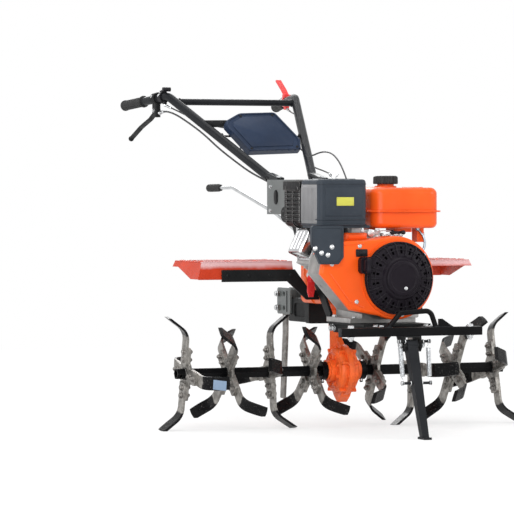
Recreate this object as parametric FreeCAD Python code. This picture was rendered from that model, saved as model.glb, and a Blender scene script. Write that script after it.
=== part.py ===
import FreeCAD, Part
import math
import os

V = FreeCAD.Vector

# ---------------------------------------------------------------------------
# Rotary tiller with a gear drive.  Millimetres.
# While it is built: X across the machine, Y to the rear, Z up from the ground,
# with the rotor axle above Y = 0.  "right" and "left" are the operator's, who
# walks behind and looks forward, so the right side is at negative X.
# ---------------------------------------------------------------------------

# driving sizes
tine_radius = 170.0
hub_pitch = 134.0
hub_count = 4
tube_flat = 30.0
upper_half = 70.0
frame_half = 224.0
bracket_half = 86.0
handle_length = 574.0

# clearances and fits
run_gap = 0.05
slip_gap = 0.3
case_clearance = 30.0
strut_clearance = 16.0

# the rotor stands on the ground
axle_height = tine_radius
tine_top = axle_height + tine_radius

# chassis struts stand beside the upper case, and the first hubs beside the struts
strut_thick = 8.0
strut_gap = 10.0
strut_x = upper_half + strut_gap + strut_thick / 2
hub_first = strut_x + strut_thick / 2 + strut_clearance
last_hub = hub_first + hub_pitch * (hub_count - 1)

# gear case
case_half = 30.0
case_boss = 48.0
column_radius = 19.0
column_back = 45.0
upper_height = 130.0
upper_bottom = tine_top + case_clearance
upper_top = upper_bottom + upper_height
upper_front = -10.0
upper_back = 150.0
cap_radius = 36.0
cap_depth = 8.0

# rotor
tube_wall = 4.0
tube_inner_end = case_boss + 8.0
tube_end = last_hub + 32.0
end_pin_x = last_hub + 20.0
shaft_radius = 10.5
journal_radius = 20.0
hub_plate = 8.0
hub_lobe = 80.0
hub_lobe_width = 42.0
tine_thick = 7.0
tine_width = 38.0
tine_root = 26.0
tine_bend_start = tine_radius - 69.0
tine_bend_radius = 50.0
tine_bend = math.radians(54.0)
bolt_radius = 6.0
bolt_rows = (42.0, 66.0)
pin_radius = 5.0
pin_tilt = math.radians(30.0)

# engine
engine_axis_height = upper_top - 42.0
engine_back = -(tine_radius - 55.0)
engine_front = engine_back - 185.0
engine_half = 110.0
engine_bottom = engine_axis_height - 134.0
shroud_depth = 92.0
shroud_front = engine_front - shroud_depth
shroud_wall = 3.0
recoil_radius = 104.0
cylinder_rise = math.radians(25.0)
cylinder_plane = engine_back - 93.0
fin_pitch = 9.0
fin_thick = 3.0
fin_size = 116.0
cover_start = 214.0
cover_end = 258.0
tank_bottom = engine_axis_height + 144.0
tank_height = 120.0
tank_wall = 4.0
tank_x0 = -34.0
tank_x1 = 180.0
tank_y0 = engine_front - 12.0
tank_y1 = tank_y0 + 200.0
tank_cap_x = 50.0
tank_cap_y = tank_y0 + 107.0
cap_bottom = tank_bottom + tank_height + 10.0
cap_top = cap_bottom + 25.0
cleaner_x1 = tank_x0 - 46.0
cleaner_x0 = cleaner_x1 - 156.0
cleaner_y0 = engine_front - 62.0
cleaner_y1 = cleaner_y0 + 134.0
cleaner_z0 = tank_bottom + 10.0
cleaner_z1 = cleaner_z0 + 134.0
muffler_y0 = cleaner_y1 + 14.0
muffler_y1 = muffler_y0 + 136.0
muffler_z0 = tank_bottom + 4.0
muffler_z1 = muffler_z0 + 122.0

# chassis and stand
deck = 6.0
rail_top = engine_bottom - deck
rail_height = 25.0
rail_half = upper_half + 11.0
rail_back = -(tine_radius - 20.0)
bumper_plane = shroud_front - 98.0
bumper_size = 25.0
stand_pivot = V(0, bumper_plane + 1.0, rail_top - 50.0)
stand_foot = V(0, stand_pivot.y - 95.0, 0.0)
stand_bore = 6.0

# hitch and drag stake
hitch_half = 16.0
hitch_bottom = upper_bottom - 64.0
hitch_end = upper_back + 222.0
clevis_wall = 6.0
clevis_back = hitch_end + 78.0
hitch_pin_y = hitch_end + 24.0
hitch_pin_rows = (hitch_bottom + 40.0, hitch_bottom + 84.0)
hitch_pin_radius = 8.0
stake_y = hitch_end + 62.0

# fenders
fender_top = upper_top
fender_start = upper_half + 80.0
fender_end = last_hub - 39.0
fender_front = 34.0
fender_back = 250.0
fender_middle = (fender_front + fender_back) / 2
fender_flare = 18.0
fender_sheet = 2.5
fender_deep = 52.0
fender_shallow = 18.0

# handlebars
tilt_axis = V(0, upper_back + 20.0, upper_top + 140.0)
tilt_bore = 8.0
bracket_back = tilt_axis.y + 210.0
bracket_bottom = tilt_axis.z - 1.0
bracket_top = tilt_axis.z + 106.0
bracket_wall = 4.0
support_half = bracket_half - 20.0
handle_tube = 14.0
handle_wall = 2.0
handle_foot = V(bracket_half - 12.0, bracket_back + 12.0, bracket_top + 7.0)
panel_lean = math.radians(30.0)
handle_way = V(148.0, 488.0, 263.0).normalize()
handle_bend = handle_foot + handle_way * handle_length
grip_way = V(48.0, 270.0, -25.0).normalize()
grip_reach = 275.0
grip_end = handle_bend + grip_way * grip_reach
grip_length = 128.0
grip_radius = 16.5

nodes = {}


# ---------------------------------------------------------------------------
# shape helpers
# ---------------------------------------------------------------------------

def box(x0, x1, y0, y1, z0, z1):
    return Part.makeBox(x1 - x0, y1 - y0, z1 - z0, V(x0, y0, z0))


def rod(start, end, radius):
    axis = end - start
    return Part.makeCylinder(radius, axis.Length, start, axis)


def cross_rod(x0, x1, y, z, radius):
    return rod(V(x0, y, z), V(x1, y, z), radius)


def prism(points, depth):
    outline = Part.makePolygon(points + [points[0]])
    return Part.Face(outline).extrude(depth)


def side_plate(x0, x1, profile):
    points = [V(x0, y, z) for y, z in profile]
    return prism(points, V(x1 - x0, 0, 0))


def front_plate(y0, y1, profile):
    points = [V(x, y0, z) for x, z in profile]
    return prism(points, V(0, y1 - y0, 0))


def flat_plate(z0, z1, profile):
    points = [V(x, y, z0) for x, y in profile]
    return prism(points, V(0, 0, z1 - z0))


def mirrored(shape):
    return shape.mirror(V(0, 0, 0), V(1, 0, 0))


def joined(shapes):
    whole = shapes[0]
    for shape in shapes[1:]:
        whole = whole.fuse(shape).removeSplitter()
    return whole


def grouped(shapes):
    return Part.makeCompound(shapes)


def rounded(shape, radius, pick):
    edges = [edge for edge in shape.Edges if pick(edge)]
    return shape.makeFillet(radius, edges)


def along(axis):
    def pick(edge):
        if edge.Curve.TypeId != "Part::GeomLine":
            return False
        step = edge.Vertexes[1].Point - edge.Vertexes[0].Point
        step.normalize()
        return abs(step.dot(axis)) > 0.99
    return pick


def at_height(z):
    def pick(edge):
        bounds = edge.BoundBox
        return abs(bounds.ZMin - z) < 0.01 and abs(bounds.ZMax - z) < 0.01
    return pick


def at_depth(y):
    def pick(edge):
        bounds = edge.BoundBox
        return abs(bounds.YMin - y) < 0.01 and abs(bounds.YMax - y) < 0.01
    return pick


def bent_path(points, radius):
    edges = []
    last = points[0]
    for i in range(1, len(points) - 1):
        corner = points[i]
        back = points[i - 1] - corner
        back.normalize()
        ahead = points[i + 1] - corner
        ahead.normalize()
        turn = math.pi - back.getAngle(ahead)
        reach = radius * math.tan(turn / 2)
        start = corner + back * reach
        end = corner + ahead * reach
        middle = back + ahead
        middle.normalize()
        centre = corner + middle * (radius / math.cos(turn / 2))
        crest = centre - middle * radius
        edges.append(Part.makeLine(last, start))
        edges.append(Part.Arc(start, crest, end).toShape())
        last = end
    edges.append(Part.makeLine(last, points[-1]))
    return Part.Wire(edges)


def swept_round(points, radius, bend, bore=0.0):
    path = bent_path(points, bend)
    ahead = points[1] - points[0]
    ring = Part.Wire(Part.makeCircle(radius, points[0], ahead))
    solid = path.makePipeShell([ring], True, False)
    if bore > 0:
        inner = Part.Wire(Part.makeCircle(bore, points[0], ahead))
        solid = solid.cut(path.makePipeShell([inner], True, False))
    return solid


def swept_bar(points, wide, deep, up, bend):
    path = bent_path(points, bend)
    ahead = points[1] - points[0]
    ahead.normalize()
    across = ahead.cross(up)
    across.normalize()
    top = across.cross(ahead)
    top.normalize()
    corners = []
    for sx, sz in ((-1, -1), (1, -1), (1, 1), (-1, 1)):
        corners.append(points[0] + across * (sx * wide / 2) + top * (sz * deep / 2))
    section = Part.makePolygon(corners + [corners[0]])
    return path.makePipeShell([section], True, False)


# ---------------------------------------------------------------------------
# rotor: output shaft, two gang tubes, and eight hubs of four bent tines
# ---------------------------------------------------------------------------

def hexagon(flat, x0, x1):
    corner = flat / math.sqrt(3)
    points = []
    for i in range(6):
        angle = math.radians(60 * i)
        points.append(V(x0, corner * math.cos(angle), corner * math.sin(angle)))
    return prism(points, V(x1 - x0, 0, 0))


def gang_tube():
    hollow = tube_flat - 2 * tube_wall
    outer = hexagon(tube_flat, tube_inner_end, tube_end)
    bore = hexagon(hollow, tube_inner_end - 1.0, tube_end + 1.0)
    collar = cross_rod(tube_inner_end, tube_inner_end + 16.0, 0, 0, tube_flat - 3.0)
    collar = collar.cut(hexagon(hollow, tube_inner_end - 1.0, tube_inner_end + 17.0))
    tube = outer.cut(bore).fuse(collar).removeSplitter()
    drive = V(tube_inner_end + 8.0, 0, 0)
    tube = tube.cut(rod(drive - V(0, 0, 40), drive + V(0, 0, 40), pin_radius))
    # cross hole for an extension, square to a flat and between the outer tines
    end = V(end_pin_x, 0, 0)
    way = V(0, math.cos(pin_tilt), math.sin(pin_tilt)) * 40.0
    return tube.cut(rod(end - way, end + way, pin_radius))


def hub_disc(x):
    x0 = x - hub_plate / 2
    x1 = x + hub_plate / 2
    disc = cross_rod(x0, x1, 0, 0, 42.0)
    bars = []
    for turn in (0, 90):
        bar = box(x0, x1, -hub_lobe_width / 2, hub_lobe_width / 2, -hub_lobe, hub_lobe)
        bar.rotate(V(x, 0, 0), V(1, 0, 0), turn)
        bars.append(bar)
    plate = disc.fuse(bars).removeSplitter()
    return rounded(plate, 9.0, hub_tip)


def hub_tip(edge):
    if not along(V(1, 0, 0))(edge):
        return False
    spot = edge.CenterOfMass
    return math.hypot(spot.y, spot.z) > hub_lobe


def tine():
    # centre line in the X-Z plane: straight shank, one bend, straight blade
    half = tine_thick / 2
    centre = V(tine_bend_radius, 0, tine_bend_start)
    sine = math.sin(tine_bend)
    cosine = math.cos(tine_bend)
    ahead = V(sine, 0, cosine)
    beyond = 90.0
    sides = []
    for offset in (-half, half):
        arc_radius = tine_bend_radius - offset
        root = V(offset, 0, tine_root)
        start = V(offset, 0, tine_bend_start)
        angle = tine_bend / 2
        crest = centre + V(-arc_radius * math.cos(angle), 0, arc_radius * math.sin(angle))
        end = centre + V(-arc_radius * cosine, 0, arc_radius * sine)
        tip = end + ahead * beyond
        sides.append((root, start, crest, end, tip))
    a, b = sides
    edges = [Part.makeLine(a[0], a[1])]
    edges.append(Part.Arc(a[1], a[2], a[3]).toShape())
    edges.append(Part.makeLine(a[3], a[4]))
    edges.append(Part.makeLine(a[4], b[4]))
    edges.append(Part.makeLine(b[4], b[3]))
    edges.append(Part.Arc(b[3], b[2], b[1]).toShape())
    edges.append(Part.makeLine(b[1], b[0]))
    edges.append(Part.makeLine(b[0], a[0]))
    strip = Part.Face(Part.Wire(edges)).extrude(V(0, 90, 0))
    strip.translate(V(0, -45, 0))
    # outline in the plane of rotation: the blade sweeps back, widens and ends in a round tip
    w = tine_width / 2
    x = -45.0
    neck = tine_radius - 88.0

    def rim(y):
        return V(x, y, math.sqrt(tine_radius * tine_radius - y * y))

    back = Part.BSplineCurve()
    back.interpolate([V(x, w, neck), V(x, w - 1, neck + 30), V(x, w + 3, neck + 62), rim(w + 8)])
    front = Part.BSplineCurve()
    front.interpolate([rim(8 - w), V(x, 1 - w, neck + 64), V(x, -w - 1, neck + 32), V(x, -w, neck)])
    outline = Part.Wire([
        Part.makeLine(V(x, -w, tine_root), V(x, w, tine_root)),
        Part.makeLine(V(x, w, tine_root), V(x, w, neck)),
        back.toShape(),
        Part.Arc(rim(w + 8), rim(8), rim(8 - w)).toShape(),
        front.toShape(),
        Part.makeLine(V(x, -w, neck), V(x, -w, tine_root)),
    ])
    plan = Part.Face(outline).extrude(V(180, 0, 0))
    blade = strip.common(plan)
    for z in bolt_rows:
        blade = blade.cut(cross_rod(-10, 10, 0, z, bolt_radius))
    return blade


def hub_set(index, phase, outward):
    # one hub of the left gang; hub 0 is next to the gear case, and phase leans its top tine forward
    x = hub_first + hub_pitch * index
    plate = hub_disc(x)
    blank = tine()
    plate.rotate(V(0, 0, 0), V(1, 0, 0), phase)
    plate = plate.cut(hexagon(tube_flat, x - hub_plate, x + hub_plate))
    tines = []
    for i in range(4):
        side = 1 if outward[i] else -1
        piece = blank.copy() if outward[i] else mirrored(blank)
        piece.rotate(V(0, 0, 0), V(1, 0, 0), phase + 90.0 * i)
        piece.translate(V(x + side * (hub_plate + tine_thick) / 2, 0, 0))
        tines.append(piece)
        for z in bolt_rows:
            hole = cross_rod(x - 20, x + 20, 0, z, bolt_radius)
            hole.rotate(V(0, 0, 0), V(1, 0, 0), phase + 90.0 * i)
            plate = plate.cut(hole)
    return plate.fuse(tines).removeSplitter()


def output_shaft():
    reach = tube_inner_end + 70.0
    shaft = cross_rod(-reach, reach, 0, 0, shaft_radius)
    journal = cross_rod(-tube_inner_end + slip_gap, tube_inner_end - slip_gap, 0, 0, journal_radius)
    shaft = shaft.fuse(journal).removeSplitter()
    for side in (-1, 1):
        x = side * (tube_inner_end + 8.0)
        shaft = shaft.cut(rod(V(x, 0, -40), V(x, 0, 40), pin_radius))
    return shaft


def lock_pin(x):
    collar = tube_flat - 3.0
    head = rod(V(x, 0, collar), V(x, 0, collar + 5.0), 8.0)
    shank = rod(V(x, 0, -collar - 6.0), V(x, 0, collar), pin_radius - run_gap)
    return head.fuse(shank).removeSplitter()


def raised(shape):
    shape.translate(V(0, 0, axle_height))
    return shape


# each hub: its name, then the phase in degrees and which tines turn outward, left and right
hub_names = ("inner", "second", "third", "outer")
even = (True, False, True, False)
odd = (False, True, False, True)
paired = (True, False, False, True)
left_hubs = ((30.0, even), (0.0, odd), (30.0, paired), (-15.0, even))
right_hubs = ((45.0, even), (-8.0, odd), (44.0, even), (10.0, even))

nodes["output_shaft"] = raised(output_shaft())
nodes["left_rotor_tube"] = raised(gang_tube())
nodes["right_rotor_tube"] = mirrored(nodes["left_rotor_tube"])
for index in range(hub_count):
    name = hub_names[index]
    phase, outward = left_hubs[index]
    nodes["left_%s_tines" % name] = raised(hub_set(index, phase, outward))
    phase, outward = right_hubs[index]
    nodes["right_%s_tines" % name] = mirrored(raised(hub_set(index, phase, outward)))
pins = [lock_pin(-tube_inner_end - 8.0), lock_pin(tube_inner_end + 8.0)]
nodes["drive_pins"] = raised(grouped(pins))


# ---------------------------------------------------------------------------
# gear case: a disc-shaped lower case with a flange seam and a keel, a round
# column, and a cast upper case behind the engine
# ---------------------------------------------------------------------------

def gearbox_lower():
    z = axle_height
    core = cross_rod(-case_half, case_half, 0, z, 68.0)
    core = rounded(core, 12.0, lambda e: True)
    shield = side_plate(-16, 16, [(-56, z - 36), (-24, z - 78), (0, z - 96), (24, z - 78), (56, z - 36)])
    shield = rounded(shield, 6.0, along(V(0, 1, 0)))
    flange = cross_rod(-7, 7, 0, z, 78.0)
    boss = cross_rod(-case_boss, case_boss, 0, z, 34.0)
    collar = cross_rod(-case_boss - 6, case_boss + 6, 0, z, 28.0)
    column = rod(V(0, column_back, z + 20), V(0, column_back, upper_bottom), column_radius)
    web = side_plate(-8, 8, [(-30, z + 55), (column_back, z + 118), (column_back + 10, z + 30), (0, z)])
    ribs = []
    for turn in (-70, -35, 35, 70, 145, 215):
        rib = box(-case_half + 2, case_half - 2, -3, 3, z + 50, z + 76)
        rib.rotate(V(0, 0, z), V(1, 0, 0), turn)
        ribs.append(rib)
    case = joined([core, shield, flange, boss, collar, column, web] + ribs)
    bore = cross_rod(-case_boss - 7, case_boss + 7, 0, z, journal_radius + run_gap)
    return case.cut(bore)


def rear_cap(gap):
    start = V(0, upper_back, engine_axis_height - 20.0)
    return rod(start, start + V(0, cap_depth + gap, 0), cap_radius + gap)


def gearbox_upper():
    body = box(-upper_half, upper_half, upper_front, upper_back, upper_bottom, upper_top)
    body = rounded(body, 18.0, along(V(0, 1, 0)))
    rim = box(-upper_half - 7, upper_half + 7, 62, 74, upper_bottom, upper_top + 7)
    rim = rounded(rim, 20.0, along(V(0, 1, 0)))
    hub = rod(V(0, upper_front - 8, engine_axis_height), V(0, upper_front, engine_axis_height), 62.0)
    turret = box(-38, 38, 82, 142, upper_top, upper_top + 18)
    turret = rounded(turret, 10.0, along(V(0, 0, 1)))
    cap = rear_cap(0.0)
    return body.fuse([rim, hub, turret, cap]).removeSplitter()


def clutch_housing():
    z = engine_axis_height
    y0 = engine_back
    y1 = upper_front - 8
    profile = [V(0, y0, z), V(84, y0, z), V(84, y0 + 14, z), V(70, y0 + 30, z), V(60, y1 - 12, z)]
    profile += [V(60, y1, z), V(0, y1, z)]
    outline = Part.makePolygon(profile + [profile[0]])
    return Part.Face(outline).revolve(V(0, 0, z), V(0, 1, 0), 360)


nodes["gearbox_lower"] = gearbox_lower()
nodes["gearbox_upper"] = gearbox_upper()
nodes["clutch_housing"] = clutch_housing()


# ---------------------------------------------------------------------------
# engine
# ---------------------------------------------------------------------------

def cylinder_point(distance, offset=0.0, y=cylinder_plane):
    c = math.cos(cylinder_rise)
    s = math.sin(cylinder_rise)
    return V(-distance * c + offset * s, y, engine_axis_height + distance * s + offset * c)


def tilted_block(near, far, size, deep):
    corners = [cylinder_point(near, -size / 2, cylinder_plane - deep / 2)]
    corners.append(cylinder_point(far, -size / 2, cylinder_plane - deep / 2))
    corners.append(cylinder_point(far, size / 2, cylinder_plane - deep / 2))
    corners.append(cylinder_point(near, size / 2, cylinder_plane - deep / 2))
    return prism(corners, V(0, deep, 0))


def engine_block():
    z = engine_axis_height
    profile = [(-70, engine_bottom + 14), (-70, z - 38), (-96, z - 6), (-40, z + 102)]
    profile += [(engine_half - 24, z + 102), (engine_half, z + 72), (engine_half, engine_bottom + 14)]
    body = front_plate(engine_front, engine_back, profile)
    base = box(6 - engine_half, engine_half - 2, engine_front + 8, engine_back - 6,
               engine_bottom, engine_bottom + 14)
    back = Part.Face(shroud_outline(0.0)).extrude(V(0, 4, 0))
    back.translate(V(0, engine_front, 0))
    return joined([body, base, back])


def cylinder_head():
    barrel_start = 62.0
    parts = [tilted_block(barrel_start, 190, 84, 84)]
    for i in range(11):
        near = barrel_start + 30 + fin_pitch * i
        parts.append(tilted_block(near, near + fin_thick, fin_size, fin_size))
    head = tilted_block(186, cover_start, 108, 108)
    cover = tilted_block(cover_start, cover_end, 78, 88)
    cover = rounded(cover, 8.0, cover_edges)
    block = parts[0].fuse(parts[1:] + [head, cover]).removeSplitter()
    return block.cut(nodes["engine_block"])


def cover_edges(edge):
    far = cylinder_point(cover_end)
    axis = far - cylinder_point(cover_start)
    axis.normalize()
    return abs((edge.CenterOfMass - far).dot(axis)) < 0.01


def shroud_outline(grow):
    # straight flanks run into the round fan housing
    z = engine_axis_height
    r = 122.0 + grow
    top = V(-34, 0, z + math.sqrt(r * r - 34 * 34))
    right = V(r, 0, z)
    low = V(-52, 0, z - math.sqrt(r * r - 52 * 52))
    flank = [V(-148, 0, z - 92 - grow), V(-242 - grow, 0, z + 14), V(-234 - grow, 0, z + 62)]
    flank += [V(-188, 0, z + 108 + grow), V(-96, 0, z + 111 + grow)]
    edges = [Part.Arc(low, right, top).toShape()]
    last = top
    for point in reversed(flank):
        edges.append(Part.makeLine(last, point))
        last = point
    edges.append(Part.makeLine(last, low))
    return Part.Wire(edges)


def fan_shroud():
    outer = Part.Face(shroud_outline(0.0)).extrude(V(0, shroud_depth, 0))
    outer.translate(V(0, shroud_front, 0))
    outer = rounded(outer, 10.0, at_depth(shroud_front))
    inner = Part.Face(shroud_outline(-shroud_wall)).extrude(V(0, 200, 0))
    inner.translate(V(0, shroud_front + shroud_wall + 8, 0))
    z = engine_axis_height
    mouth = rod(V(0, shroud_front - 5, z), V(0, shroud_front + 20, z), recoil_radius - 16)
    rim = rod(V(0, shroud_front - 6, z), V(0, shroud_front, z), recoil_radius + 8)
    return outer.fuse(rim).removeSplitter().cut([inner, mouth])


def recoil_cover():
    z = engine_axis_height
    y = shroud_front - 6
    profile = [V(0, y, z), V(recoil_radius, y, z), V(recoil_radius, y - 14, z)]
    profile += [V(recoil_radius - 10, y - 24, z), V(64, y - 30, z), V(58, y - 38, z), V(0, y - 42, z)]
    outline = Part.makePolygon(profile + [profile[0]])
    dome = Part.Face(outline).revolve(V(0, 0, z), V(0, 1, 0), 360)
    lobe = box(-126, -70, y - 22, y, z + 14, z + 62)
    lobe = rounded(lobe, 10.0, along(V(0, 1, 0)))
    grip = box(-121, -101, y - 40, y - 22, z + 22, z + 54)
    grip = rounded(grip, 6.0, along(V(1, 0, 0)))
    cover = dome.fuse([lobe, grip]).removeSplitter()
    slots = []
    for i in range(18):
        slot = box(72, 92, y - 32, y - 8, z - 3.5, z + 3.5)
        slot.rotate(V(0, 0, z), V(0, 1, 0), 20.0 * i + 10.0)
        slots.append(slot)
    return cover.cut(slots)


def fuel_tank():
    x0, x1, y0, y1 = tank_x0, tank_x1, tank_y0, tank_y1
    z0 = tank_bottom
    z1 = tank_bottom + tank_height
    t = tank_wall
    body = box(x0, x1, y0, y1, z0, z1)
    body = rounded(body, 34.0, along(V(0, 0, 1)))
    body = rounded(body, 20.0, at_height(z1))
    body = rounded(body, 16.0, at_height(z0))
    seam = box(x0 - 9, x1 + 9, y0 - 9, y1 + 9, z0 + 48, z0 + 52)
    seam = rounded(seam, 42.0, along(V(0, 0, 1)))
    sump = box(x1 - 120, x1 - 62, y0 + 62, y0 + 132, z0 - 12, z0 + 10)
    sump = rounded(sump, 8.0, along(V(0, 0, 1)))
    neck = rod(V(tank_cap_x, tank_cap_y, z1 - 7), V(tank_cap_x, tank_cap_y, cap_bottom), 25.0)
    feet = []
    for x in (-8.0, engine_half + 40.0):
        feet.append(box(x - 11, x + 11, y0 + 76, y0 + 112, engine_axis_height + 102, z0 + 6))
    tank = joined([body, seam, sump, neck] + feet)
    cavity = box(x0 + t, x1 - t, y0 + t, y1 - t, z0 + t, z1 - t)
    cavity = rounded(cavity, 30.0, along(V(0, 0, 1)))
    cavity = rounded(cavity, 15.0, at_height(z1 - t))
    cavity = rounded(cavity, 12.0, at_height(z0 + t))
    return tank.cut([nodes["engine_block"], cavity])


def fuel_cap():
    cap = rod(V(tank_cap_x, tank_cap_y, cap_bottom), V(tank_cap_x, tank_cap_y, cap_top), 37.0)
    cap = rounded(cap, 3.0, at_height(cap_top))
    for i in range(16):
        angle = math.radians(22.5 * i)
        spot = V(tank_cap_x + 38.5 * math.cos(angle), tank_cap_y + 38.5 * math.sin(angle), cap_bottom - 5)
        cap = cap.cut(rod(spot, spot + V(0, 0, 40), 3.5))
    return cap


def air_cleaner():
    x0, x1, y0, y1 = cleaner_x0, cleaner_x1, cleaner_y0, cleaner_y1
    z0, z1 = cleaner_z0, cleaner_z1
    body = box(x0, x1, y0, y1, z0, z1)
    body = rounded(body, 16.0, along(V(0, 0, 1)))
    body = rounded(body, 10.0, at_height(z1))
    base = box(x0 + 6, x1 + 10, y0 + 6, y1 - 6, z0 - 8, z0)
    # cover plate that hangs in front of the fan housing
    plate_y = shroud_front - 4.0
    plate = front_plate(plate_y - 12, plate_y, [
        (x0 + 60, z0), (x0 - 41, z0), (x0 - 41, z0 - 52), (x0 - 14, z0 - 112), (x0 + 44, z0 - 112),
        (x0 + 60, z0 - 92)])
    plate = rounded(plate, 8.0, along(V(0, 1, 0)))
    arm = box(x0 + 14, x0 + 60, plate_y - 1, y0 + 12, z0 - 12, z0)
    cavity = box(x0 + 5, x1 - 5, y0 + 5, y1 - 5, z0 + 8, z1 - 6)
    cavity = rounded(cavity, 12.0, along(V(0, 0, 1)))
    return joined([body, base, plate, arm]).cut(cavity)


def carburettor():
    y = engine_front
    z = engine_axis_height + 104.0
    body = box(-72, -8, y + 5, y + 38, z + 10, z + 36)
    bowl = rod(V(-34, y + 22, z), V(-34, y + 22, z + 11), 15.0)
    elbow = box(-100, -71, y + 5, y + 32, z + 18, z + 42)
    stub = rod(V(-60, y + 37, z + 23), V(-60, y + 60, z + 23), 9.0)
    return joined([body, bowl, elbow, stub])


def muffler():
    x0, x1 = cleaner_x0 + 14.0, cleaner_x1 - 18.0
    y0, y1 = muffler_y0, muffler_y1
    z0, z1 = muffler_z0, muffler_z1
    t = 4.0
    body = box(x0, x1, y0, y1, z0, z1)
    body = rounded(body, 22.0, along(V(0, 1, 0)))
    seam = box(x0 - 5, x1 + 5, y0 + 64, y0 + 68, z0 - 5, z1 + 5)
    seam = rounded(seam, 26.0, along(V(0, 1, 0)))
    outlet = rod(V(x0 + 62, y1 - 2, z1 - 38), V(x0 + 62, y1 + 28, z1 - 38), 13.0)
    bore = rod(V(x0 + 62, y1 + 8, z1 - 38), V(x0 + 62, y1 + 33, z1 - 38), 11.0)
    cavity = box(x0 + t, x1 - t, y0 + t, y1 - t, z0 + t, z1 - t)
    cavity = rounded(cavity, 18.0, along(V(0, 1, 0)))
    return joined([body, seam, outlet]).cut([bore, cavity])


def exhaust_pipe():
    start = cylinder_point(200, 0, cylinder_plane + 54)
    end = V(start.x, start.y + 44, muffler_z0)
    pipe = swept_round([start, start + V(0, 44, 0), end], 15.0, 28.0)
    ring = rod(start, start + V(0, 6, 0), 24.0)
    return pipe.fuse(ring).removeSplitter()


nodes["engine_block"] = engine_block()
nodes["cylinder_head"] = cylinder_head()
nodes["fan_shroud"] = fan_shroud().cut([nodes["engine_block"], nodes["cylinder_head"]])
nodes["recoil_cover"] = recoil_cover()
nodes["fuel_tank"] = fuel_tank()
nodes["fuel_cap"] = fuel_cap()
nodes["air_cleaner"] = air_cleaner()
nodes["muffler"] = muffler()
nodes["exhaust_pipe"] = exhaust_pipe().cut([nodes["cylinder_head"], nodes["muffler"]])
nodes["carburettor"] = carburettor().cut([nodes["engine_block"], nodes["cylinder_head"], nodes["air_cleaner"]])


# ---------------------------------------------------------------------------
# chassis: rails under the engine, struts to the gear case, bumper and stand
# ---------------------------------------------------------------------------

def engine_frame():
    parts = []
    for side in (-1, 1):
        x = side * rail_half
        parts.append(box(x - 14, x + 14, bumper_plane + bumper_size / 2, rail_back,
                         rail_top - rail_height, rail_top))
        xs = side * strut_x
        low = rail_top - 22.0
        foot = rail_back + 40.0
        high = upper_bottom + 70.0
        parts.append(side_plate(xs - strut_thick / 2, xs + strut_thick / 2, [
            (rail_back - 20, low), (foot, low), (foot + 16, rail_top + 8), (18, high), (56, high),
            (56, high + 34), (4, high + 34), (foot - 2, rail_top + 30), (foot - 2, rail_top - 1),
            (rail_back - 20, rail_top - 1)]))
        near = min(side * upper_half, xs)
        far = max(side * upper_half, xs)
        parts.append(box(near, far, 20, 50, high + 2, high + 32))
    parts.append(box(-rail_half, rail_half, rail_back - 36, rail_back, rail_top - 20, rail_top))
    half = engine_half - 2.0
    parts.append(box(-half, half, shroud_front - 6, rail_back + 12, rail_top, engine_bottom))
    return joined(parts).cut([nodes["engine_block"], nodes["clutch_housing"], nodes["gearbox_upper"]])


def front_bumper():
    size = bumper_size / 2
    wall = 2.5
    z = rail_top - size
    y = bumper_plane
    beam = box(-frame_half, frame_half, y - size, y + size, z - size, z + size)
    beam = rounded(beam, 3.0, along(V(1, 0, 0)))
    inner = box(-frame_half - 1, frame_half + 1, y - size + wall, y + size - wall,
                z - size + wall, z + size - wall)
    beam = beam.cut(inner)
    hoop = swept_round([
        V(-72, y, z + size - 1), V(-34, y, z + 54), V(62, y, z + 60), V(80, y, z + size - 1)], 7.5, 22.0)
    gusset = front_plate(y - 3, y + 3, [
        (88, z + size - 0.5), (88, z + 36), (100, z + 36), (136, z + size - 0.5)])
    bumper = joined([beam, hoop, gusset])
    holes = []
    for side in (-1, 1):
        x = side * (frame_half - 34.0)
        holes.append(rod(V(x, y, z - 20), V(x, y, z + 20), 5.5))
    return bumper.cut(holes)


def stand_bracket():
    z1 = rail_top - rail_height
    p = stand_pivot
    cheeks = []
    for side in (-1, 1):
        x = side * 25.0
        cheek = side_plate(x - 2.5, x + 2.5, [
            (bumper_plane - 12, z1), (bumper_plane + 42, z1), (p.y + 20, p.z - 16),
            (p.y - 10, p.z - 20), (bumper_plane - 22, p.z - 4)])
        cheeks.append(cheek)
    top = box(-27.5, 27.5, bumper_plane - 12, bumper_plane + 42, z1 - 4, z1)
    bracket = joined(cheeks + [top])
    bore = cross_rod(-40, 40, p.y, p.z, stand_bore)
    bracket = bracket.cut(bore)
    horns = []
    for side in (-1, 1):
        horn = cross_rod(min(side * 25, side * 50), max(side * 25, side * 50), p.y - 22, p.z + 10, 4.0)
        horns.append(horn)
    return joined([bracket] + horns)


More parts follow.
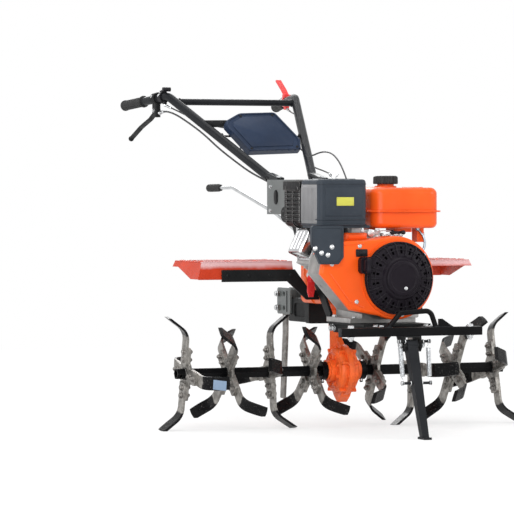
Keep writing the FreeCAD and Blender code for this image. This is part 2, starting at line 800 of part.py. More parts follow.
def front_stand():
    p = stand_pivot
    run = stand_foot - p
    run.normalize()
    side = V(1, 0, 0)
    depth = run.cross(side)
    length = (stand_foot - p).Length
    top = p - run * 10.0
    low = p + run * (length + 20)

    def section(spot, half_x, half_d):
        corners = []
        for sx, sd in ((-1, -1), (1, -1), (1, 1), (-1, 1)):
            corners.append(spot + side * (sx * half_x) + depth * (sd * half_d))
        return Part.makePolygon(corners + [corners[0]])

    leg = Part.makeLoft([section(top, 17, 13), section(low, 10, 9)], True)
    face = 1 if depth.y > 0 else -1
    pocket_top = top + depth * (face * 13)
    pocket_low = low + depth * (face * 9)
    pocket = Part.makeLoft([section(pocket_top, 13, 26), section(pocket_low, 6, 14)], True)
    leg = leg.cut(pocket)
    eye = cross_rod(-17, 17, p.y, p.z, 15.0)
    leg = leg.fuse(eye).cut(box(-60, 60, p.y - 300, p.y + 200, -60, 0))
    pad = box(-12, 12, stand_foot.y - 26, stand_foot.y + 26, 0, 5)
    pad = rounded(pad, 5.0, along(V(0, 0, 1)))
    tie = p + run * 116.0
    rod_x = cross_rod(-46, 46, tie.y, tie.z, 4.0)
    leg = joined([leg, pad, rod_x])
    return leg.cut(cross_rod(-40, 40, p.y, p.z, stand_bore))


def stand_pin():
    p = stand_pivot
    shank = cross_rod(-31, 31, p.y, p.z, stand_bore - run_gap)
    head = cross_rod(31, 36, p.y, p.z, 10.0)
    nut = cross_rod(-37, -29, p.y, p.z, 10.0)
    return joined([shank, head, nut])


def stand_spring(side):
    p = stand_pivot
    run = stand_foot - p
    run.normalize()
    low = p + run * 116.0 + V(side * 40, 0, 0)
    high = V(side * 44, p.y - 22, p.z + 10)
    ahead = high - low
    ahead.normalize()
    return rod(low + ahead * 5.0, high - ahead * 5.0, 5.5)


nodes["engine_frame"] = engine_frame()
nodes["front_bumper"] = front_bumper()
nodes["stand_bracket"] = stand_bracket()
nodes["front_stand"] = front_stand()
nodes["stand_pivot_pin"] = stand_pin()
nodes["right_stand_spring"] = stand_spring(-1)
nodes["left_stand_spring"] = stand_spring(1)


# ---------------------------------------------------------------------------
# rear hitch, fenders and gear lever
# ---------------------------------------------------------------------------

def rear_hitch():
    # flange on the back of the upper case, and a forged arm with a web on its top
    half = hitch_half
    top = hitch_bottom + 74.0
    flange = box(-44, 44, upper_back, upper_back + 30, hitch_bottom, upper_bottom + 70)
    flange = rounded(flange, 8.0, along(V(0, 1, 0)))
    arm = box(-half, half, upper_back + 20, hitch_end, hitch_bottom, top)
    arm = rounded(arm, 5.0, along(V(0, 1, 0)))
    web = side_plate(-6, 6, [(upper_back + 28, top - 2), (upper_back + 28, top + 50), (upper_back + 110, top - 2)])
    hitch = joined([flange, arm, web])
    for side in (-1, 1):
        x = side * half
        recess = box(x - 4, x + 4, upper_back + 56, hitch_end - 44, hitch_bottom + 16, top - 16)
        hitch = hitch.cut(rounded(recess, 10.0, along(V(1, 0, 0))))
    return hitch.cut(rear_cap(slip_gap))


def hitch_plate():
    # clevis that grips the arm's end and carries the drag stake
    low = hitch_bottom + 21.0
    high = hitch_bottom + 103.0
    inner = hitch_half
    parts = []
    for side in (-1, 1):
        x = side * (inner + clevis_wall / 2)
        cheek = box(x - clevis_wall / 2, x + clevis_wall / 2, hitch_end - 26, clevis_back, low, high)
        parts.append(rounded(cheek, 10.0, along(V(1, 0, 0))))
    parts.append(box(-inner - 1, inner + 1, hitch_end, hitch_end + 6, low + 4, high - 4))
    plate = joined(parts)
    holes = []
    for z in hitch_pin_rows:
        holes.append(cross_rod(-60, 60, hitch_pin_y, z, hitch_pin_radius))
        holes.append(cross_rod(-60, 60, stake_y, z, pin_radius + run_gap))
    return plate.cut(holes).cut(nodes["rear_hitch"])


def drag_stake():
    # flat bar between two collared bolts, with its foot swept back
    outer = hitch_half + clevis_wall + slip_gap
    top = V(0, stake_y, hitch_bottom + 96.0)
    knee = V(0, stake_y, hitch_bottom - 40.0)
    tip = V(0, stake_y + 20.0, 60.0)
    stake = swept_bar([top, knee, tip], 8.0, 30.0, V(0, 1, 0), 120.0)
    parts = [stake]
    for z in hitch_pin_rows:
        parts.append(cross_rod(-outer - 8, outer + 8, stake_y, z, pin_radius))
        parts.append(cross_rod(slip_gap - hitch_half, hitch_half - slip_gap, stake_y, z, 9.0))
        parts.append(cross_rod(-outer - 5, -outer, stake_y, z, 9.0))
        parts.append(cross_rod(outer, outer + 5, stake_y, z, 9.0))
    return joined(parts)


def fender():
    # pressed sheet: a deep skirt in front, a shallow one behind, and a sloping end between them
    x0 = fender_start
    x1 = fender_end - fender_flare - 6.0
    y0, y1 = fender_front, fender_back
    z = fender_top
    t = fender_sheet
    drop = fender_deep
    flare = fender_flare

    def tray(shrink, lower):
        top = [V(x0, y0 + shrink, z - lower), V(x1 - shrink, y0 + shrink, z - lower),
               V(x1 - shrink, y1 - shrink, z - lower), V(x0, y1 - shrink, z - lower)]
        low = [V(x0, y0 - flare + shrink, z - drop), V(x1 + flare - shrink, y0 - flare + shrink, z - drop),
               V(x1 + flare - shrink, y1 + flare - shrink, z - drop), V(x0, y1 + flare - shrink, z - drop)]
        wires = [Part.makePolygon(top + [top[0]]), Part.makePolygon(low + [low[0]])]
        return Part.makeLoft(wires, True)

    mouth = box(x0 - 5, x0 + 5, y0 + 3, y1 - 3, z - drop - 1, z - t)
    inner = tray(t, t).fuse(mouth).removeSplitter()
    slope = side_plate(x0 - 20, fender_end + 20, [
        (y0 + 40, z - drop - 1), (y1 + 40, z - drop - 1), (y1 + 40, z - fender_shallow),
        (y1 - 40, z - fender_shallow)])
    sheet = tray(0.0, 0.0).cut([inner, slope])
    ridges = []
    for y in (fender_middle - 46, fender_middle, fender_middle + 46):
        ridges.append(box(x0 + 24, x1 - 24, y - 5, y + 5, z - 0.5, z + 3.0))
    return sheet.fuse(ridges).removeSplitter()


def front_fender_bracket():
    # flat bar along the front skirt, a drop arm, and a foot on the gear case
    y1 = fender_front - fender_flare - slip_gap
    y0 = y1 - 5.0
    x0 = fender_start
    top = fender_top - 24.0
    low = fender_top - 60.0
    foot_low = upper_bottom + 14.0
    foot_top = upper_bottom + 42.0
    near = upper_half + 7.0 + slip_gap
    bar = box(x0, x0 + 236, y0, y1, low, top)
    drop = front_plate(y0, y1, [(x0, top), (x0 + 24, top), (x0 + 24, low), (x0 - 38, foot_low),
                                (near, foot_low), (near, foot_top), (x0 - 50, foot_top)])
    foot = box(upper_half, upper_half + 10, y0, y1 + 30, foot_low, foot_top)
    bracket = joined([bar, drop, foot])
    return bracket.cut([nodes["engine_frame"], nodes["gearbox_upper"]])


def flat_fender_bracket():
    # flat arm under the sheet, with its foot turned down on the gear case
    y = upper_back - 38.0
    top = fender_top - fender_sheet - slip_gap
    arm = box(upper_half, fender_start + 150, y - 20, y + 20, top - 8, top)
    foot = box(upper_half, upper_half + 8, y - 20, y + 20, upper_bottom + 64, top)
    return joined([arm, foot]).cut(nodes["gearbox_upper"])


def gear_lever():
    seat = upper_top + 18.0
    start = V(-48, upper_back - 38, seat)
    path = [start, start + V(0, 0, 30), start + V(-4, 288, 126), start + V(-28, 578, 204), knob_start()]
    lever = swept_round(path, 6.0, 30.0)
    socket = rod(start, start + V(0, 0, 8), 14.0)
    return joined([lever, socket])


def knob_start():
    return V(-86, upper_back + 612, upper_top + 221)


def gear_knob():
    knob = Part.makeCylinder(13.0, 80.0, knob_start(), V(-10, 72, -1))
    return knob.makeFillet(5.0, knob.Edges)


nodes["rear_hitch"] = rear_hitch()
nodes["hitch_plate"] = hitch_plate()
nodes["drag_stake"] = drag_stake()
nodes["right_fender"] = mirrored(fender())
# the left one is the same pressing turned half round, so its deep skirt is behind
nodes["left_fender"] = nodes["right_fender"].copy()
nodes["left_fender"].rotate(V(0, fender_middle, 0), V(0, 0, 1), 180)
nodes["right_fender_bracket"] = mirrored(front_fender_bracket())
nodes["left_fender_bracket"] = flat_fender_bracket()
nodes["gear_lever"] = gear_lever()
nodes["gear_knob"] = gear_knob()


# ---------------------------------------------------------------------------
# handlebars on a tilting bracket
# ---------------------------------------------------------------------------

def handlebar_support():
    y = tilt_axis.y
    z = tilt_axis.z
    front = upper_back - 66.0
    back = upper_back - 4.0
    cheeks = []
    for side in (-1, 1):
        x = side * support_half
        profile = [(front, upper_top), (back, upper_top), (y + 62, z - 20), (y + 44, z + 30)]
        profile += [(y - 30, z + 34), (y - 44, z)]
        cheeks.append(side_plate(x - 4, x + 4, profile))
    floor = box(-support_half - 4, support_half + 4, front, back, upper_top, upper_top + 6)
    floor = floor.cut(box(-39, 39, front - 4, back + 4, upper_top - 1, upper_top + 20))
    web = box(-support_half + 4, support_half - 4, y - 36, y - 30, z - 70, z + 30)
    support = joined(cheeks + [web, floor])
    return support.cut([nodes["gearbox_upper"], cross_rod(-150, 150, y, z, tilt_bore)])


def spacers():
    y = tilt_axis.y
    z = tilt_axis.z
    rings = []
    for side in (-1, 1):
        x0 = side * (support_half + 4.0)
        x1 = side * (bracket_half - bracket_wall - slip_gap)
        ring = cross_rod(min(x0, x1), max(x0, x1), y, z, 28.0)
        rings.append(ring.cut(cross_rod(-150, 150, y, z, tilt_bore)))
    return rings


def handlebar_bracket():
    y = tilt_axis.y
    z = tilt_axis.z
    cheeks = []
    for side in (-1, 1):
        x = side * (bracket_half - bracket_wall / 2)
        profile = [(y - 28, z - 26), (y + 44, bracket_bottom), (bracket_back, bracket_bottom)]
        profile += [(bracket_back, bracket_top), (y - 20, bracket_top), (y - 28, z + 30)]
        cheek = side_plate(x - bracket_wall / 2, x + bracket_wall / 2, profile)
        slot = box(x - 5, x + 5, y + 126, y + 150, bracket_top - 74, bracket_top - 34)
        cheeks.append(cheek.cut(rounded(slot, 11.0, along(V(1, 0, 0)))))
    top = box(-bracket_half, bracket_half, y - 20, bracket_back, bracket_top - bracket_wall, bracket_top)
    bracket = joined(cheeks + [top])
    return bracket.cut(cross_rod(-150, 150, y, z, tilt_bore))


def tilt_bolt():
    y = tilt_axis.y
    z = tilt_axis.z
    outer = bracket_half
    shank = cross_rod(-outer - 26, outer + 6, y, z, tilt_bore - run_gap)
    nut = cross_rod(outer, outer + 12, y, z, 14.0)
    knob = cross_rod(-outer - 34, -outer - 8, y, z, 24.0)
    knob = rounded(knob, 5.0, lambda e: e.Curve.TypeId == "Part::GeomCircle")
    washer = cross_rod(-outer - 8, -outer, y, z, 17.0)
    return joined([shank, nut, knob, washer])


def below_bend(distance):
    return handle_bend - handle_way * distance


def past_bend(distance):
    return handle_bend + grip_way * distance


def handle_core(extra):
    return swept_round([handle_foot, handle_bend, grip_end], handle_tube + extra, 60.0)


def handle():
    core = handle_core(0.0)
    hollow = handle_core(-handle_wall)
    saddle = side_plate(handle_foot.x - 12, handle_foot.x + 12, [
        (bracket_back - 80, bracket_top), (bracket_back, bracket_top), (bracket_back + 26, bracket_top + 12),
        (bracket_back + 12, bracket_top + 22), (bracket_back - 80, bracket_top + 6)])
    return joined([core, saddle]).cut(hollow)


def grip():
    start = past_bend(grip_reach + 4.0 - grip_length)
    body = rod(start, past_bend(grip_reach + 4.0), grip_radius)
    body = body.makeFillet(4.0, body.Edges)
    return body.cut(rod(start - grip_way * 5, grip_end, handle_tube + slip_gap))


def cross_bar():
    spot = below_bend(41.0)
    bar = cross_rod(-spot.x, spot.x, spot.y, spot.z, 10.5)
    core = handle_core(slip_gap)
    return bar.cut([core, mirrored(core)])


def control_panel():
    # folded cover between the handles, leaning back, seven-sided
    low = V(0, handle_foot.y + 174, handle_foot.z + 83)
    up = V(0, math.sin(panel_lean), math.cos(panel_lean))
    through = V(0, math.cos(panel_lean), -math.sin(panel_lean)) * 24.0
    points = []
    for x, h in ((-67, 0), (111, 8), (116, 45), (48, 144), (-77, 139), (-124, 113), (-128, 95)):
        points.append(low + V(x, 0, 0) + up * h)
    cover = prism(points, through)
    return rounded(cover, 5.0, along(through.normalize()))


def panel_bracket():
    spot = handle_foot + handle_way * 287.0
    y = spot.y
    z = spot.z
    bar = box(-spot.x, spot.x, y - 12, y + 12, z - 3, z + 3)
    stem = box(-40, 40, y - 28, y - 12, z - 20, z + 3)
    core = handle_core(slip_gap)
    return joined([bar, stem]).cut([core, mirrored(core), nodes["control_panel"]])


def clamp(start, length, radius):
    ring = rod(past_bend(start), past_bend(start + length), radius)
    return ring.cut(rod(past_bend(start - 9), past_bend(start + length + 9), handle_tube + slip_gap))


def clutch_lever():
    hub = past_bend(71.0)
    ring = clamp(61.0, 22.0, 20.0)
    perch = box(hub.x - 9, hub.x + 9, hub.y - 12, hub.y + 22, hub.z - 60, hub.z - 15)
    perch = rounded(perch, 4.0, along(V(0, 0, 1)))
    perch = perch.cut(rod(past_bend(46.0), past_bend(102.0), handle_tube + slip_gap))
    path = [hub + V(0, 5, -42), hub + V(3, 50, -66), hub + V(8, 120, -90), hub + V(14, 200, -127)]
    lever = swept_bar(path, 14.0, 8.0, V(0, 0, 1), 30.0)
    tip = Part.makeSphere(9.0, path[-1])
    return joined([ring, perch, lever, tip])


def throttle_lever():
    hub = past_bend(30.6)
    ring = clamp(23.0, 15.0, 18.5)
    base = box(hub.x - 9, hub.x + 9, hub.y - 8, hub.y + 9, hub.z + 14, hub.z + 22)
    arm = box(hub.x - 6, hub.x + 6, hub.y - 30, hub.y + 4, hub.z + 19, hub.z + 24)
    thumb = cross_rod(hub.x - 13, hub.x + 13, hub.y - 29, hub.z + 25, 7.0)
    socket = box(hub.x - 5, hub.x + 5, hub.y - 20, hub.y - 4, hub.z - 22, hub.z - 12)
    whole = joined([ring, base, arm, thumb, socket])
    return whole.cut(handle_core(slip_gap))


def reverse_lever():
    hub = past_bend(122.0)
    ring = clamp(113.0, 18.0, 18.5)
    base = box(hub.x - 11, hub.x + 11, hub.y - 9, hub.y + 9, hub.z + 14, hub.z + 24)
    path = [hub + V(0, 0, 20), hub + V(0, 20, 38), hub + V(2, 74, 72)]
    arm = swept_bar(path, 18.0, 6.0, V(0, 0, 1), 14.0)
    socket = box(hub.x - 6, hub.x + 6, hub.y - 9, hub.y + 9, hub.z - 26, hub.z - 12)
    whole = joined([ring, base, arm, socket])
    return whole.cut(rod(past_bend(90.0), past_bend(grip_reach), handle_tube + slip_gap))


# ---------------------------------------------------------------------------
# control cables: straight runs joined by arcs as large as the runs allow
# ---------------------------------------------------------------------------

def cable(points, diameter):
    edges = []
    last = points[0]
    for i in range(1, len(points) - 1):
        corner = points[i]
        back = points[i - 1] - corner
        ahead = points[i + 1] - corner
        reach = 0.45 * min(back.Length, ahead.Length)
        back.normalize()
        ahead.normalize()
        turn = math.pi - back.getAngle(ahead)
        radius = reach / math.tan(turn / 2)
        start = corner + back * reach
        end = corner + ahead * reach
        middle = back + ahead
        middle.normalize()
        crest = corner + middle * (radius / math.cos(turn / 2) - radius)
        edges.append(Part.makeLine(last, start))
        edges.append(Part.Arc(start, crest, end).toShape())
        last = end
        if radius < 5 * diameter:
            print("tight bend", corner, round(radius, 1))
    edges.append(Part.makeLine(last, points[-1]))
    path = Part.Wire(edges)
    ring = Part.Wire(Part.makeCircle(diameter / 2, points[0], points[1] - points[0]))
    return path.makePipeShell([ring], True, False)


def route(rows):
    return [V(*row) for row in rows]


clutch_route = route([
    (-231, 938, 962), (-229, 900, 970), (-218, 836, 960), (-200, 760, 930), (-177, 684, 892),
    (-155, 612, 846), (-133, 540, 808), (-104, 470, 768), (-66, 408, 738), (-34, 350, 706),
    (-14, 290, 664), (-6, 238, 612), (-2, 196, 562), (0, 164, 520)])
throttle_route = route([
    (-227, 898, 988), (-214, 858, 976), (-188, 800, 952), (-158, 744, 930), (-112, 706, 914),
    (-46, 690, 906), (30, 686, 899), (94, 664, 884), (120, 612, 852), (136, 560, 818), (150, 498, 836),
    (155, 430, 832), (150, 362, 806), (136, 292, 772), (120, 222, 732), (108, 152, 690),
    (92, 84, 648), (68, 20, 614), (44, -48, 590), (36, -126, 580), (34, -206, 578),
    (20, -262, 584), (-12, -281, 585)])
reverse_route = route([
    (243, 992, 981), (234, 934, 968), (222, 874, 962), (204, 812, 944), (182, 744, 910), (160, 676, 872),
    (140, 606, 832), (134, 536, 788), (140, 466, 776), (140, 398, 764), (131, 332, 742),
    (120, 268, 710), (112, 208, 662), (108, 152, 606), (98, 100, 556), (76, 60, 520),
    (52, 36, 501)])


nodes["handlebar_support"] = joined([handlebar_support()] + spacers())
nodes["handlebar_bracket"] = handlebar_bracket()
nodes["tilt_bolt"] = tilt_bolt()
nodes["left_handle"] = handle().cut(nodes["handlebar_bracket"])
nodes["right_handle"] = mirrored(nodes["left_handle"])
nodes["left_grip"] = grip()
nodes["right_grip"] = mirrored(nodes["left_grip"])
nodes["cross_bar"] = cross_bar()
nodes["control_panel"] = control_panel()
nodes["panel_bracket"] = panel_bracket()
nodes["clutch_lever"] = mirrored(clutch_lever())
nodes["throttle_lever"] = mirrored(throttle_lever())
nodes["reverse_lever"] = reverse_lever()
nodes["clutch_cable"] = cable(clutch_route, 6.0).cut([nodes["clutch_lever"], nodes["gearbox_upper"]])
nodes["throttle_cable"] = cable(throttle_route, 5.0).cut([nodes["throttle_lever"], nodes["carburettor"]])
nodes["reverse_cable"] = cable(reverse_route, 5.0).cut([nodes["reverse_lever"], nodes["gearbox_upper"]])

if __name__ == "__main__":
    os.makedirs("parts", exist_ok=True)
    whole = Part.makeCompound(list(nodes.values()))
    bounds = whole.optimalBoundingBox(True, False)
    print("bounds", bounds)
    middle = V((bounds.XMin + bounds.XMax) / 2, (bounds.YMin + bounds.YMax) / 2, bounds.ZMin)
    print("middle", middle.x, middle.y, middle.z)
    for name, shape in nodes.items():
        print("%-24s solids %d valid %s volume %.0f" % (name, len(shape.Solids), shape.isValid(), shape.Volume))
        placed = shape.copy()
        placed.translate(V(0, 0, 0) - middle)
        placed.exportStep("parts/%s.step" % name)
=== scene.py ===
import bpy
import bmesh
import math
from functools import cached_property
from mathutils import Matrix, Vector


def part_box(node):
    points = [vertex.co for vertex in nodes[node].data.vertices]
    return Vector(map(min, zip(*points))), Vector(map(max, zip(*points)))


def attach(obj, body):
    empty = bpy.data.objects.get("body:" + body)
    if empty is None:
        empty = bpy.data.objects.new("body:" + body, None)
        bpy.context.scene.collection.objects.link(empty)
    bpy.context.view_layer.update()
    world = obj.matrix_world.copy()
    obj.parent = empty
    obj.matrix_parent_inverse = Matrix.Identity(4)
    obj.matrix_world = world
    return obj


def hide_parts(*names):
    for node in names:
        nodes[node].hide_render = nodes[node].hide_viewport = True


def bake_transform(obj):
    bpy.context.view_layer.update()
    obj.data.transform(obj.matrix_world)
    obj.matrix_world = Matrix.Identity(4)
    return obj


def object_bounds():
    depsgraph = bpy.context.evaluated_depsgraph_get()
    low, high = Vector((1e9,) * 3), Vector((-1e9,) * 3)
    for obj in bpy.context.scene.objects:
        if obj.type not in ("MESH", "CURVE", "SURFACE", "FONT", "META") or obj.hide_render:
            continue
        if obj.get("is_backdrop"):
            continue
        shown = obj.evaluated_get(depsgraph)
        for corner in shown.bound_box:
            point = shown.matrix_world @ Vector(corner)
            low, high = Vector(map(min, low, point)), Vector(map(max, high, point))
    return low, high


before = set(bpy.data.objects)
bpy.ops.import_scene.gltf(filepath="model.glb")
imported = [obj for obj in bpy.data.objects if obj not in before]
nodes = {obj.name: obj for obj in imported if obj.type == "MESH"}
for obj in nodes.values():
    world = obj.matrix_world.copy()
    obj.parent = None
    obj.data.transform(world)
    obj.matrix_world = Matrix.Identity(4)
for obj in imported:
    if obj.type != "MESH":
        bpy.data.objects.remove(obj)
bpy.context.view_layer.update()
scene = bpy.context.scene
shaft_low, shaft_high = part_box("output_shaft")
axle_y = (shaft_low[1] + shaft_high[1]) / 2
axle_height = (shaft_low[2] + shaft_high[2]) / 2 * 1000.0

# ---- camera: the photograph's angle, through a long lens ----

turn = math.radians(24.0)
rise = math.radians(1.5)
camera_distance = 10.446
middle = Vector((0.0, -0.2745, 0.45))
aim_right = -0.2567
aim_up = 0.0620

away = Vector((-math.sin(turn) * math.cos(rise), -math.cos(turn) * math.cos(rise), math.sin(rise)))
right = Vector((math.cos(turn), -math.sin(turn), 0.0))
camera = bpy.data.objects.new("camera", bpy.data.cameras.new("camera"))
camera.data.sensor_width = 36.0
camera.data.lens = 242.19
camera.data.clip_start = 0.5
camera.data.clip_end = 200.0
camera.location = middle + away * camera_distance
aim = middle + right * aim_right + right.cross(-away) * aim_up
camera.rotation_mode = "QUATERNION"
camera.rotation_quaternion = (aim - camera.location).to_track_quat("-Z", "Y")
scene.collection.objects.link(camera)
scene.camera = camera

# ---- materials ----


class Nodes:
    """Adds the nodes of one material, or of the world, and links them a line at a time."""

    def __init__(self, owner, kind="Material"):
        self.owner = owner
        owner.use_nodes = True
        self.tree = owner.node_tree
        self.tree.nodes.clear()
        self.out = self.add("Output" + kind)

    @cached_property
    def place(self):
        return self.add("TexCoord").outputs["Object"]

    def add(self, kind, inputs=None, **values):
        # inputs: a value or another node's output for each socket, by its name or number
        node = self.tree.nodes.new("ShaderNode" + kind)
        for key, value in values.items():
            setattr(node, key, value)
        for key, value in (inputs or {}).items():
            self.put(value, node.inputs[key])
        return node

    def put(self, value, socket):
        if isinstance(value, bpy.types.NodeSocket):
            self.tree.links.new(value, socket)
        elif socket.type == "RGBA":
            socket.default_value = (*value, 1.0)
        else:
            socket.default_value = value

    def noise(self, scale, detail=3.0, rough=0.5):
        inputs = {"Scale": scale, "Detail": detail, "Roughness": rough, "Vector": self.place}
        return self.add("TexNoise", inputs).outputs["Fac"]

    def ramp(self, value, low, high, a=0.0, b=1.0):
        inputs = {"Value": value, "From Min": low, "From Max": high, "To Min": a, "To Max": b}
        return self.add("MapRange", inputs, clamp=True).outputs["Result"]

    def math(self, operation, a, b):
        return self.add("Math", {0: a, 1: b}, operation=operation).outputs[0]

    def times(self, a, b):
        return self.math("MULTIPLY", a, b)

    def mix(self, share, a, b):
        return self.add("Mix", {0: share, 6: a, 7: b}, data_type="RGBA").outputs[2]

    def axes(self, vector):
        return self.add("SeparateXYZ", {0: vector}).outputs

    def seen(self):
        # 1 for the camera, reflections and glass, and 0 for the light on the object
        path = self.add("LightPath").outputs
        plain = self.math("MAXIMUM", path["Is Camera Ray"], path["Is Glossy Ray"])
        return self.math("MAXIMUM", plain, path["Is Transmission Ray"])

    def surface(self, shader):
        self.put(shader.outputs[0], self.out.inputs["Surface"])
        return self.owner

    def soft_normal(self, radius):
        return self.add("Bevel", {"Radius": radius}, samples=4).outputs[0]

    def edges(self, radius=0.0012):
        # how much the surface turns within a small radius, which picks out its edges
        normal = self.add("NewGeometry").outputs["Normal"]
        dot = self.add("VectorMath", {0: self.soft_normal(radius), 1: normal}, operation="DOT_PRODUCT")
        return self.ramp(self.math("SUBTRACT", 1.0, dot.outputs["Value"]), 0.02, 0.25)

    def bump(self, height, strength, depth, edge=0.0015):
        # relief over edges that are rounded by this radius
        inputs = {"Strength": strength, "Distance": depth, "Height": height, "Normal": self.soft_normal(edge)}
        return self.add("Bump", inputs).outputs[0]

    def principled(self, colour, rough, metallic, normal, coat=0.0, coat_rough=0.1, gloss=0.5):
        return self.surface(self.add("BsdfPrincipled", {
            "Base Color": colour, "Roughness": rough, "Metallic": metallic, "Normal": normal,
            "Specular IOR Level": gloss, "Coat Weight": coat, "Coat Roughness": coat_rough}))


def material(name):
    return Nodes(bpy.data.materials.new(name))


def tone(colour, share, lift=0.0):
    return tuple(min(1.0, c * share + lift) for c in colour)


def sprayed(m, colour, dust=0.12, lift=0.0):
    # paint with a slow colour drift and a little dust
    paint = m.mix(m.ramp(m.noise(6.0), 0.3, 0.7), tone(colour, 0.82), tone(colour, 1.08, lift))
    return m.mix(m.ramp(m.noise(38.0, 5.0, 0.65), 0.52, 0.78, 0.0, dust), paint, tone(colour, 0.5, 0.035))


def painted_reflection_band(m, base, above):
    # painted reflection: a pale band on the faces towards the front, above this height in metres
    height = m.math("ADD", m.axes(m.place)["Z"], m.times(m.noise(30.0), 0.012))
    facing = m.axes(m.add("NewGeometry").outputs["Normal"])["Y"]
    reflection_share = m.ramp(height, above, above + 0.012, 0.0, 0.75)
    return m.mix(m.times(reflection_share, m.ramp(facing, -0.5, -0.2, 1.0, 0.0)), base, (0.64, 0.46, 0.47))


def enamel(name, colour, rough=0.32, coat=0.0, wear=0.35, dust=0.08, gloss=0.10, bare=(0.30, 0.28, 0.26),
           peel=0.0004, reflection_from=None):
    """Sprayed gloss paint: colour drift, orange peel, worn edges, a little dust, and, above a given height, a
    painted reflection on the front faces.
    """
    m = material(name)
    base = sprayed(m, colour, dust, 0.004)
    chips = m.times(m.edges(), m.ramp(m.noise(150.0, 4.0, 0.7), 0.5, 0.6))
    worn = m.times(chips, wear)
    base = m.mix(worn, base, bare)
    # a pale band painted on the front faces above that height: painted reflection
    if reflection_from:
        base = painted_reflection_band(m, base, reflection_from)
    roughness = m.ramp(m.noise(24.0, 4.0), 0.3, 0.75, rough * 0.8, rough * 1.35)
    normal = m.bump(m.noise(700.0, 2.0), 0.25, peel, 0.0012)
    return m.principled(base, roughness, m.times(worn, 0.8), normal, coat, 0.08, gloss)


def two_tone(name, colour, gloss, bare_behind, bare_below):
    """Sprayed front; behind one Y and below one height, in metres, the bare casting shows."""
    m = material(name)
    paint = sprayed(m, colour)
    metal = m.mix(m.ramp(m.noise(24.0, 5.0, 0.6), 0.3, 0.72), (0.17, 0.165, 0.16), (0.36, 0.35, 0.34))
    place = m.axes(m.place)
    behind = m.ramp(place["Y"], bare_behind, bare_behind + 0.0008)
    under = m.ramp(place["Z"], bare_below - 0.0008, bare_below, 1.0, 0.0)
    bare = m.times(behind, under)
    base = m.mix(bare, paint, metal)
    roughness = m.ramp(m.noise(24.0, 4.0), 0.3, 0.75, 0.27, 0.44)
    pebble = m.times(m.noise(420.0, 3.0, 0.6), m.math("ADD", m.times(bare, 0.85), 0.15))
    return m.principled(base, roughness, m.times(bare, 0.8), m.bump(pebble, 0.4, 0.0005), gloss=gloss)


def cast(name, colour, rough=0.42, metallic=0.85, grain=0.0006, gloss=0.35, paint=False):
    """Sand-cast or die-cast surface: pebbled grain, darker blotches, brighter rubbed edges."""
    m = material(name)
    base = m.mix(m.ramp(m.noise(20.0, 5.0, 0.6), 0.3, 0.72), tone(colour, 0.68), colour)
    base = m.mix(m.ramp(m.noise(70.0, 4.0, 0.7), 0.55, 0.8, 0.0, 0.5), base, tone(colour, 0.42))
    base = m.mix(m.times(m.edges(0.0015), 0.0 if paint else 0.6), base, (0.72, 0.71, 0.69))
    pebble = m.math("ADD", m.noise(420.0, 3.0, 0.6), m.times(m.noise(1400.0, 2.0), 0.4))
    roughness = m.ramp(m.noise(90.0), 0.3, 0.7, rough * 0.8, rough * 1.25)
    coat = 0.06 if paint else 0.0
    return m.principled(base, roughness, metallic, m.bump(pebble, 0.45, grain), coat, 0.2, gloss)


def rolled_steel(name, colour, dipped_from=None):
    """Hot-rolled bar with scale and light rust; further than dipped_from off the axle it is black."""
    m = material(name)
    scale = m.ramp(m.noise(45.0, 6.0, 0.7), 0.35, 0.7)
    base = m.mix(scale, tone(colour, 0.55), tone(colour, 1.7))
    rust = m.ramp(m.noise(120.0, 5.0, 0.75), 0.58, 0.76, 0.0, 0.30)
    base = m.mix(rust, base, (0.20, 0.085, 0.035))
    base = m.mix(m.times(m.edges(), 0.5), base, (0.55, 0.53, 0.50))
    roughness = m.ramp(m.noise(60.0, 4.0), 0.3, 0.75, 0.34, 0.62)
    metallic = m.ramp(rust, 0.0, 0.55, 0.9, 0.3)
    if dipped_from:
        place = m.axes(m.place)
        y = m.math("SUBTRACT", place["Y"], axle_y)
        z = m.math("SUBTRACT", place["Z"], axle_height / 1000.0)
        reach = m.add("Math", {0: m.math("ADD", m.times(y, y), m.times(z, z))}, operation="SQRT").outputs[0]
        wavy = m.math("ADD", reach, m.times(m.noise(60.0, 2.0), 0.010))
        dipped = m.ramp(wavy, dipped_from + 0.003, dipped_from + 0.007)
        dipped = m.times(dipped, m.ramp(m.noise(190.0, 4.0, 0.7), 0.60, 0.70, 1.0, 0.55))
        base = m.mix(dipped, base, (0.004, 0.004, 0.0045))
        metallic = m.times(metallic, m.math("SUBTRACT", 1.0, dipped))
        roughness = m.times(roughness, m.ramp(dipped, 0.0, 1.0, 1.0, 0.62))
    normal = m.bump(m.noise(520.0, 4.0, 0.6), 0.4, 0.0005, 0.0012)
    return m.principled(base, roughness, metallic, normal, gloss=0.10)


def plated(name, colour, rough=0.28):
    """Zinc or chrome plate: faint cloudiness and fine scratches."""
    m = material(name)
    base = m.mix(m.ramp(m.noise(35.0, 4.0), 0.3, 0.7), tone(colour, 0.8), colour)
    scratch = m.noise(260.0, 3.0, 0.6)
    base = m.mix(m.ramp(scratch, 0.62, 0.75, 0.0, 0.35), base, tone(colour, 0.55))
    roughness = m.ramp(scratch, 0.3, 0.7, rough * 0.7, rough * 1.4)
    return m.principled(base, roughness, 1.0, m.bump(scratch, 0.15, 0.0002, 0.0010))


